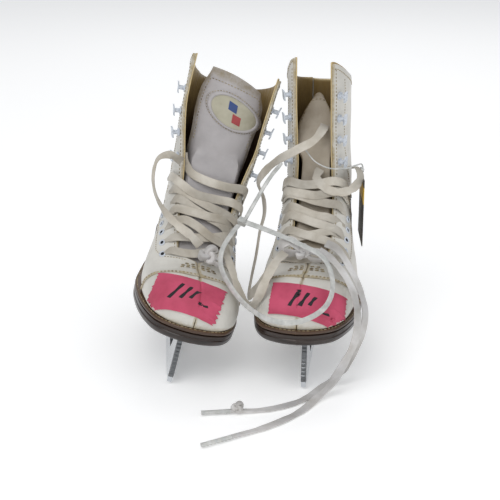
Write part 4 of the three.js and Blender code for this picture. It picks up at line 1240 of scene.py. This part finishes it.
# The way the flat side faces at the start, at a few places on the way and at the end, evenly spread.
FLAT_SIDES = {
    "lace_loop_right": [(-0.3, -0.9, 0.3), (-0.9, -0.3, 0.3), (-0.95, -0.3, 0), (-0.6, -0.7, 0.4),
                        (-0.2, -0.8, 0.6)],
    "lace_hang_front": [(0.2, -0.7, 0.7), (0.7, -0.7, 0.2), (0.5, -0.8, 0.3), (-0.3, -0.9, 0.3),
                        (-0.2, -0.8, 0.6)],
    "lace_cross": [(0, -0.9, 0.4), (0, -0.8, 0.6), (-0.3, -0.8, 0.5), (-0.9, -0.3, 0.2), (-0.9, -0.2, 0.1),
                   (-0.9, -0.3, 0), (-0.7, -0.6, 0.2), (-0.2, -0.8, 0.5)],
    "lace_tail_a": [(0.3, -0.7, 0.6), (0.6, -0.6, 0.5), (0.7, -0.7, 0.1), (0.6, -0.8, 0.2), (0.1, -0.3, 1),
                    (0, 0, 1),
                    (0, 0, 1), (0, 0, 1)],
    "lace_tail_b": [(0.3, -0.7, 0.6), (0.6, -0.6, 0.5), (0.6, -0.8, 0.1), (0.4, -0.9, 0.2), (0.1, -0.3, 1),
                    (0, 0, 1),
                    (0, 0, 1), (0, 0, 1)],
    "lace_loop_left": [(-0.3, -0.9, 0.3), (0, -0.9, 0.5), (0.2, -0.8, 0.6), (0.5, -0.7, 0.5),
                       (0.6, -0.2, 0.8)],
}
AGLETS = {
    "aglet_a": [(-14.2, -124.9, 2.6), (-36, -127.6, 2.6)],
    "aglet_b": [(-13.4, -162.7, 2.6), (-34, -174, 2.6)],
}
free_finish = {"lace_tail_a": white_lace, "lace_tail_b": white_lace}


def flat_sides(name, share):
    sides = unit(np.array(FLAT_SIDES[name], float))
    where = np.linspace(0, 1, len(sides))
    return unit(np.stack([np.interp(share, where, sides[:, k]) for k in range(3)], -1))


def clear_nylon(name, colour, rough):
    made, tree, surface = finish_named(name, IOR=1.52, Transmission_Weight=0.25, Coat_Weight=0.2)
    place = node(tree, "TexCoord").outputs["Object"]
    flow = node(tree, "TexNoise", {"Vector": place, "Scale": 180, "Detail": 3})
    share = node(tree, "MapRange", {"Value": flow.outputs["Fac"], "From Min": 0.35, "From Max": 0.7})
    mixed = colour_mix(tree, share.outputs["Result"], linear(colour), linear("#bfc1bd"))
    shine = node(tree, "MapRange", {"Value": flow.outputs["Fac"], "To Min": rough, "To Max": rough + 0.2})
    feed(tree, surface, mixed, shine)
    return made


nylon = clear_nylon("natural_nylon", "#e3e3df", 0.25)
for name, (start, end) in AGLETS.items():
    start, end = np.array(start, float), np.array(end, float)
    line = start + (end - start) * np.linspace(0, 1, 15)[:, None]
    girth = 3.3 + 0.25 * np.exp(-((np.linspace(0, 1, 15) - 0.97) / 0.05) ** 2) - 0.2 * np.linspace(0, 1, 15)
    corners, faces, uv = lace_band(line, np.tile([0.0, 0, 1], (15, 1)), girth, girth * 0.9, section=16)
    piece = add_piece(name + "_sleeve", (corners + PAIR_PLACE) * MM, faces, nylon, uv=uv)
    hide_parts(name)
    ride_pair(complete(piece, angle=50))

for name, route in ROUTES.items():
    line, share = rounded_line(route)
    sides = flat_sides(name, share)
    width = np.full(len(line), LACE_WIDTH) - 1.2 * smooth(np.sin(share * 19) ** 8)
    thick = np.full(len(line), LACE_THICK)
    tail = name.startswith("lace_tail")
    if tail:
        narrow = smooth((1 - share) / 0.12)
        width = 3.2 + (width - 3.2) * narrow
        thick = 2.8 + (thick - 2.8) * narrow
        line[:, 2] = np.maximum(line[:, 2] - 1.5 * smooth((share - 0.6) / 0.1) * narrow, thick / 2 + 0.05)
        sides = unit(sides + [0, 0, 3] * smooth((16 - line[:, 2:]) / 10))
    corners, faces, uv = lace_band(line, sides, width, thick, cup=0.35)
    piece = add_piece(name + "_band", (corners + PAIR_PLACE) * MM, faces, free_finish.get(name, beige_lace),
                      uv=uv)
    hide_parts(name)
    ride_pair(complete(piece, angle=60))

# ---- Knots --------------------------------------------------------------------------------------
# Two hard knots pulled small in the same lace, one at each throat, and a thumb knot near one end.


def knot(centre, size, turn, width, thick):
    """A trefoil of lace drawn tight to a size in millimetres and turned about the vertical."""
    t = np.linspace(0, 2 * math.pi, 91)
    line = np.stack([np.sin(t) + 2 * np.sin(2 * t), np.cos(t) - 2 * np.cos(2 * t), -np.sin(3 * t)], -1) / 3
    ups = unit(line * [1, 1, 0.3] + [0, 0, 0.2])
    c, s = math.cos(turn), math.sin(turn)
    spin = np.array([[c, -s, 0], [s, c, 0], [0, 0, 1]])
    tip = np.array([[1, 0, 0], [0, 0.5, 0.87], [0, -0.87, 0.5]])  # its face turned forwards and up
    line = (line * (np.array(size) - thick * 0.5)) @ spin.T @ tip + centre
    return lace_band(line, ups @ spin.T @ tip, width * (1 + 0.12 * np.sin(5 * t)), thick, section=12, cup=0.6)


def lobe(route, width):
    """A short slack loop of lace that comes out of a knot and goes back into it."""
    line, share = rounded_line(route)
    middle = line.mean(0)
    slack = width * (0.45 + 0.55 * np.sin(math.pi * share) ** 0.7) + crumple(line, 4, 0.8, 6.0)
    return lace_band(line, unit(line - middle + [0, -3, 1]), slack, LACE_THICK * 1.3, section=12, cup=0.6)


KNOTS = {
    "right_knot": [knot((-32, -38, 93), (9, 8, 7), 0.4, 7.5, 4.6),
                   lobe([(-30, -38, 91), (-25, -41, 92), (-21, -42, 89), (-24, -42, 86), (-30, -40, 89)], 6)],
    "left_knot": [knot((41, -47, 99), (7, 6, 6), 1.1, 5.5, 3.6),
                  lobe([(40, -47, 99), (33, -47, 98), (25, -46, 99), (25, -45, 104), (31, -45, 107),
                        (37, -46, 103), (41, -46, 100)], 12),
                  lobe([(42, -47, 99), (48, -49, 100), (55, -49, 98), (56, -49, 94), (50, -49, 93),
                        (43, -48, 97)], 7)],
    None: [knot((-9, -124.5, 5.6), (5.2, 4.8, 3.4), 0.3, 4.4, 2.6)],
}
for node_name, bands in KNOTS.items():
    corners, faces, uv = gather_bands(bands)
    piece = add_piece((node_name or "thumb") + "_laces", (corners + PAIR_PLACE) * MM, faces, white_lace,
                      uv=uv)
    complete(piece, angle=60)
    if node_name:
        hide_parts(node_name)
    ride_pair(piece)

# ---- Cable tie ----------------------------------------------------------------------------------
# A moulded nylon tie round both boots' laces: a toothed strap drawn into a wide loop, a square head that
# locks it, and the long tail that is left over.
TIE_LOOP = [
    (-5, -25, 116), (16, -37, 112), (39, -53, 107), (56, -61, 99), (62, -82, 86), (55, -100, 75),
    (37, -107, 67),
    (18, -102, 65), (0, -84, 67), (-13, -69, 76), (-22, -54, 88), (-22, -47, 99), (-14, -35, 110),
    (-9, -28, 114),
]
TIE_TAIL = [(-4, -24, 117), (7, -14, 134), (17, -9, 149), (25, -12, 160)]
TIE_HEAD = np.array([-6, -25, 116])
loop_middle = np.array([20, -66, 90])
line, share = rounded_line(TIE_LOOP)
loop_band = lace_band(line, unit(0.6 * unit(line - loop_middle) + [0, -1, 0.4]), 4.4, 1.3, section=12)
line, share = rounded_line(TIE_TAIL)
tail_band = lace_band(line, np.tile(unit(np.array([-0.5, -0.8, 0.3])), (len(line), 1)),
                      3.4 - 1.2 * smooth((share - 0.9) / 0.1), 1.3, section=12)
corners, faces, uv = gather_bands([loop_band, tail_band])
strap = add_piece("cable_tie_strap", (corners + PAIR_PLACE) * MM, faces, nylon, uv=uv)
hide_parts("cable_tie")
ride_pair(complete(strap, angle=50))
bpy.ops.mesh.primitive_cube_add(size=1, location=(TIE_HEAD + PAIR_PLACE) * MM, rotation=(0.5, 0.2, -0.6))
head = bpy.context.object
head.name = "cable_tie_head"
head.scale = (6.5 * MM, 5.2 * MM, 5.6 * MM)
bpy.ops.object.transform_apply(location=True, rotation=True, scale=True)
bpy.ops.object.mode_set(mode="EDIT")
bpy.ops.mesh.select_all(action="SELECT")
bpy.ops.mesh.inset(thickness=0.9 * MM, depth=-0.5 * MM, use_individual=True)
bpy.ops.object.mode_set(mode="OBJECT")
complete(head, ("BEVEL", {"width": 0.35 * MM, "segments": 2, "limit_method": "ANGLE", "angle_limit": 0.9}),
         angle=50)
head.data.materials.append(nylon)
ride_pair(head)

# ---- Tape labels --------------------------------------------------------------------------------
# A strip of pink paper tape pressed over each toe, puckered where the toe rounds off and torn at its right
# end, with a few strokes of a black marker on it.
LABELS = {
    "right": {"x": -8, "width": 52, "height": 30, "down": 8, "slant": 7, "lean": -6},
    "left": {"x": 7, "width": 55, "height": 26.5, "down": 11, "slant": 7, "lean": -1},
}
STROKES = [
    [(-0.13, 0.24), (-0.19, -0.02), (-0.25, -0.24)], [(0.0, 0.2), (-0.05, 0.0), (-0.1, -0.2)],
    [(0.11, 0.12), (0.07, 0.0), (0.03, -0.14)], [(0.17, -0.18), (0.24, -0.22), (0.31, -0.2)],
]
STROKE_UNIT = 40  # the strokes are spaced on a grid this large
STROKE_LABEL = (52, 30)  # the strip that the strokes are drawn for, in millimetres
PEN_PARTS = np.array([-1, -0.5, 0, 0.5, 1])
INK_SEARCH = 0.006  # how far above the strip the ink starts its way down to it, in metres
INK_LIFT = 0.06
INK_DEPTH = 0.12
AIM = unit(np.array([0.0, 1, -1]))
DOWN = unit(np.array([0.0, -1, -1]))


def paper_tape(name, colour, deep):
    made, tree, surface = finish_named(name, IOR=1.45)
    place = node(tree, "TexCoord").outputs["Object"]
    crepe = node(tree, "TexNoise", {"Vector": node(tree, "Mapping",
                                                   {"Vector": place, "Scale": (3, 1, 1)}).outputs[0],
                                    "Scale": 420, "Detail": 4, "Roughness": 0.6})
    patches = node(tree, "TexNoise", {"Vector": place, "Scale": 60, "Detail": 3})
    share = node(tree, "MapRange", {"Value": patches.outputs["Fac"], "From Min": 0.35, "From Max": 0.7})
    mixed = colour_mix(tree, share.outputs["Result"], linear(colour), linear(deep))
    rough = node(tree, "MapRange", {"Value": crepe.outputs["Fac"], "To Min": 0.5, "To Max": 0.8})
    bump = node(tree, "Bump", {"Height": crepe.outputs["Fac"], "Distance": 0.0002, "Strength": 0.6})
    feed(tree, surface, mixed, rough, bump)
    return made


def on_label(boot, toe, spec, u, v):
    """The toe's surface under a point of the label, in the pair's frame in metres, and its normal."""
    where = np.array([spec["x"] + u * spec["width"] + v * spec["lean"] + float(bend(boot, np.array(-85.0))),
                      -80, 80.0])
    where = where + DOWN * (spec["down"] + v * spec["height"] + u * spec["slant"])
    place, normal, _, _ = toe.ray_cast(Vector(in_pair(boot, where - AIM * 60)),
                                       Vector(directions_in_pair(boot, AIM)), 0.2)
    if place is None:
        place, normal, _, _ = toe.find_nearest(Vector(in_pair(boot, where)))
    return np.array(place), np.array(normal)


pink_tape = paper_tape("pink_paper_tape", "#c94f6d", "#b04059")
marker_ink = paper_tape("black_marker_ink", "#17161a", "#26252b")
for boot_name, boot in BOOTS.items():
    spec = LABELS[boot_name]
    toe = BVHTree.FromObject(vamps[boot_name], bpy.context.evaluated_depsgraph_get())
    u, v = np.meshgrid(np.linspace(-0.5, 0.5, 71), np.linspace(-0.5, 0.5, 41), indexing="ij")
    torn = 0.022 * crumple(np.stack([v * 60, 0 * v, 0 * v], -1), 3, 1.0, 2.0 + boot["inner"])
    torn_u = u + smooth((np.abs(u) - 0.44) / 0.06) * (np.sign(u) * torn * (1 + (u > 0)) - 0.012)
    spots = [on_label(boot, toe, spec, a, b) for a, b in zip(torn_u.ravel(), v.ravel())]
    base = np.array([spot[0] for spot in spots]).reshape(*u.shape, 3)
    normals = np.array([spot[1] for spot in spots]).reshape(*u.shape, 3)
    pucker = 1.5 * smooth((u - 0.12) / 0.3) * np.exp(-((v - 0.28 - 0.25 * u) / 0.035) ** 2)
    pucker += 1.1 * smooth((u - 0.25) / 0.2) * np.exp(-((v + 0.02 - 0.2 * u) / 0.03) ** 2)
    pucker += 0.3 * np.abs(crumple(base / MM, 7, 1.0, 9.0))
    lift = (1.0 + pucker)[..., None] * MM
    piece = shell(boot_name + "_pink_tape", base + normals * lift, base + normals * (lift - 0.35 * MM),
                  pink_tape, bevel=0.1)
    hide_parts(boot_name + "_tape_label")
    ride_pair(piece)
    paper = BVHTree.FromObject(piece, bpy.context.evaluated_depsgraph_get())
    for count, stroke in enumerate(STROKES):
        line, share = rounded_line([(STROKE_UNIT * a, STROKE_UNIT * b, 0) for a, b in stroke], step=0.8)
        ahead = unit(np.gradient(line, axis=0))
        across = np.stack([-ahead[:, 1], ahead[:, 0], 0 * share], -1)
        pressure = (0.95 + 0.15 * np.sin(9 * share))[:, None, None]
        grid = line[:, None] + across[:, None] * PEN_PARTS[:, None] * pressure
        ink = []
        for a, b in grid[..., :2].reshape(-1, 2):
            ink_u = a / STROKE_UNIT * STROKE_LABEL[0] / spec["width"]
            ink_v = -b / STROKE_UNIT * STROKE_LABEL[1] / spec["height"]
            ink.append(on_label(boot, toe, spec, ink_u, ink_v))
        top = []
        for place, normal in ink:
            hit = paper.ray_cast(Vector(place + normal * INK_SEARCH), Vector(-normal), 2 * INK_SEARCH)[0]
            top.append(np.array(hit) + normal * INK_LIFT * MM if hit else place + normal * 1.5 * MM)
        top = np.array(top).reshape(*grid.shape)
        under = np.array([normal for _, normal in ink]).reshape(*grid.shape) * INK_DEPTH * MM
        ride_pair(shell(f"{boot_name}_marker_stroke_{count + 1}", top, top - under, marker_ink, bevel=0.02))

# ---- Badge --------------------------------------------------------------------------------------
# An oval window in the tongue: a padded rim of the same leather, stitched round, with a plain moulded panel
# sunk in it that carries two coloured bars.
BADGE_PLACE = (0.58, 4)  # how far up the flap, and across from its middle in millimetres
BADGE_HALF = (21.5, 11.5)
BADGE_TILT = math.radians(-14)


def on_badge(r, angle, lift):
    """A point r times the panel's half sizes from its middle, some lift above the tongue's face."""
    along_it, across = r * BADGE_HALF[0] * np.cos(angle), r * BADGE_HALF[1] * np.sin(angle)
    x = BADGE_PLACE[1] + along_it * math.cos(BADGE_TILT) - across * math.sin(BADGE_TILT)
    up = along_it * math.sin(BADGE_TILT) + across * math.cos(BADGE_TILT)
    spec, boot = TONGUES["right"], BOOTS["right"]
    v = BADGE_PLACE[0] + up / spec["length"]
    swell = crumple(flap_point(boot, spec, v, x, 0), 20, 0.6, 4.4)
    return flap_point(boot, spec, v, x, -swell - lift)


def moulded(name, colour, deep):
    made, tree, surface = finish_named(name, IOR=1.5, Coat_Weight=0.3)
    place = node(tree, "TexCoord").outputs["Object"]
    grime = node(tree, "TexNoise", {"Vector": place, "Scale": 190, "Detail": 4})
    mixed = colour_mix(tree, grime.outputs["Fac"], linear(colour), linear(deep))
    rough = node(tree, "MapRange", {"Value": grime.outputs["Fac"], "To Min": 0.3, "To Max": 0.55})
    feed(tree, surface, mixed, rough)
    return made


def ride_flap(piece):
    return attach(piece, "right_tongue_flap")


boot = BOOTS["right"]
a, b = np.meshgrid(np.linspace(-1, 1, 33), np.linspace(-1, 1, 33), indexing="ij")
across, upward = a * np.sqrt(1 - b * b / 2), b * np.sqrt(1 - a * a / 2)
r, angle = np.hypot(across, upward), np.arctan2(upward, across)
panel = shell("badge_sunk_panel", in_pair(boot, on_badge(r, angle, 0.45)),
              in_pair(boot, on_badge(r, angle, 0.1)),
              moulded("olive_beige_panel", "#bcb8a4", "#a09b86"), bevel=0.1)
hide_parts("right_tongue_badge")
ride_flap(panel)
angle, r = np.meshgrid(np.linspace(0, 2 * math.pi, 97), np.linspace(0.95, 1.2, 15), indexing="ij")
bulge = 1.7 * np.sqrt(np.clip(1 - ((r - 1.04) / 0.09) ** 2, 0, 1))
lift = np.maximum(bulge, 0.5) * smooth((1.2 - r) / 0.03) + 0.05
rim = shell("badge_padded_rim", in_pair(boot, on_badge(r, angle, lift)[:, ::-1]),
            in_pair(boot, on_badge(r, angle, -0.3)[:, ::-1]),
            tongue_leathers["right"], 0.25 * np.exp(-((r[:, ::-1] - 0.97) / 0.05) ** 2), bevel=0.15)
ride_flap(rim)
angle = np.linspace(0, 2 * math.pi, 160)
line = on_badge(1.155 + 0 * angle, angle, 0.7)
normals = unit(line - on_badge(1.155 + 0 * angle, angle, -1))
corners, faces = stitch_row(line, normals, pitch=2.4, length=1.5, radius=0.26)
ride_flap(complete(add_piece("badge_stitching", in_pair(boot, corners), faces, thread), angle=60))
for name, colour, deep, (x0, x1), (y0, y1) in (
    ("badge_blue_bar", "#2b4a8a", "#22396b", (-0.28, 0.08), (0.08, 0.62)),
    ("badge_red_bar", "#b03a3c", "#8e2b30", (-0.06, 0.3), (-0.6, -0.02)),
):
    a, b = np.meshgrid(np.linspace(x0, x1, 9), np.linspace(y0, y1, 7), indexing="ij")
    a = a - 0.18 * b
    r, angle = np.hypot(a, b), np.arctan2(b, a)
    bar = shell(name, in_pair(boot, on_badge(r, angle, 0.62)), in_pair(boot, on_badge(r, angle, 0.4)),
                moulded(name, colour, deep), bevel=0.05)
    ride_flap(bar)

# ---- Hang tag -----------------------------------------------------------------------------------
# A dark card on a clear nylon filament, whose cross bar is caught behind the lace. A yellow band is printed
# round the card's upper end.
TAG_ROUTE = [(44, 5, 166), (52, -2, 158), (63, -6, 154), (76, -3, 153), (85, 9, 152), (91, 18, 150),
             (92.6, 21, 143)]
FILAMENT = 1.1


def dark_card():
    made, tree, surface = finish_named("dark_printed_card", IOR=1.45)
    place = node(tree, "TexCoord").outputs["Object"]
    height = node(tree, "SeparateXYZ", {0: place}).outputs["Z"]
    low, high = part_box("left_hang_tag")
    over = node(tree, "Math", {0: height, 1: high[2] - 0.02}, operation="GREATER_THAN")
    under = node(tree, "Math", {0: height, 1: high[2] - 0.006}, operation="LESS_THAN")
    band = node(tree, "Math", {0: over.outputs[0], 1: under.outputs[0]}, operation="MULTIPLY")
    fibres = node(tree, "TexNoise", {"Vector": place, "Scale": 300, "Detail": 5})
    dark = colour_mix(tree, fibres.outputs["Fac"], linear("#221b16"), linear("#3d332b"))
    mixed = colour_mix(tree, band.outputs[0], dark.outputs[2], linear("#c9a227"))
    rough = node(tree, "MapRange", {"Value": fibres.outputs["Fac"], "To Min": 0.35, "To Max": 0.65})
    feed(tree, surface, mixed, rough)
    return made


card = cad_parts["left_hang_tag"]
card.data.materials.clear()
card.data.materials.append(dark_card())
rounding = card.modifiers.new("rounding", "BEVEL")
rounding.width = 0.0002
rounding.segments = 2
line, share = rounded_line(TAG_ROUTE, step=0.9)
filament = lace_band(line, flat_sides("lace_cross", share), FILAMENT, FILAMENT, section=10)
corners, faces, uv = filament
piece = add_piece("tag_filament", (corners + PAIR_PLACE) * MM, faces, nylon, uv=uv)
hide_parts("left_tag_fastener")
ride_pair(complete(piece, angle=60))
bar = np.array([(90, 6, 151), (92, 14, 147)], float)
line = bar[0] + (bar[1] - bar[0]) * np.linspace(0, 1, 12)[:, None]
corners, faces, uv = lace_band(line, np.tile([0.0, 0, 1], (12, 1)), 1.6, 1.2, section=10)
ride_pair(complete(add_piece("tag_filament_bar", (corners + PAIR_PLACE) * MM, faces, nylon, uv=uv),
                   angle=60))
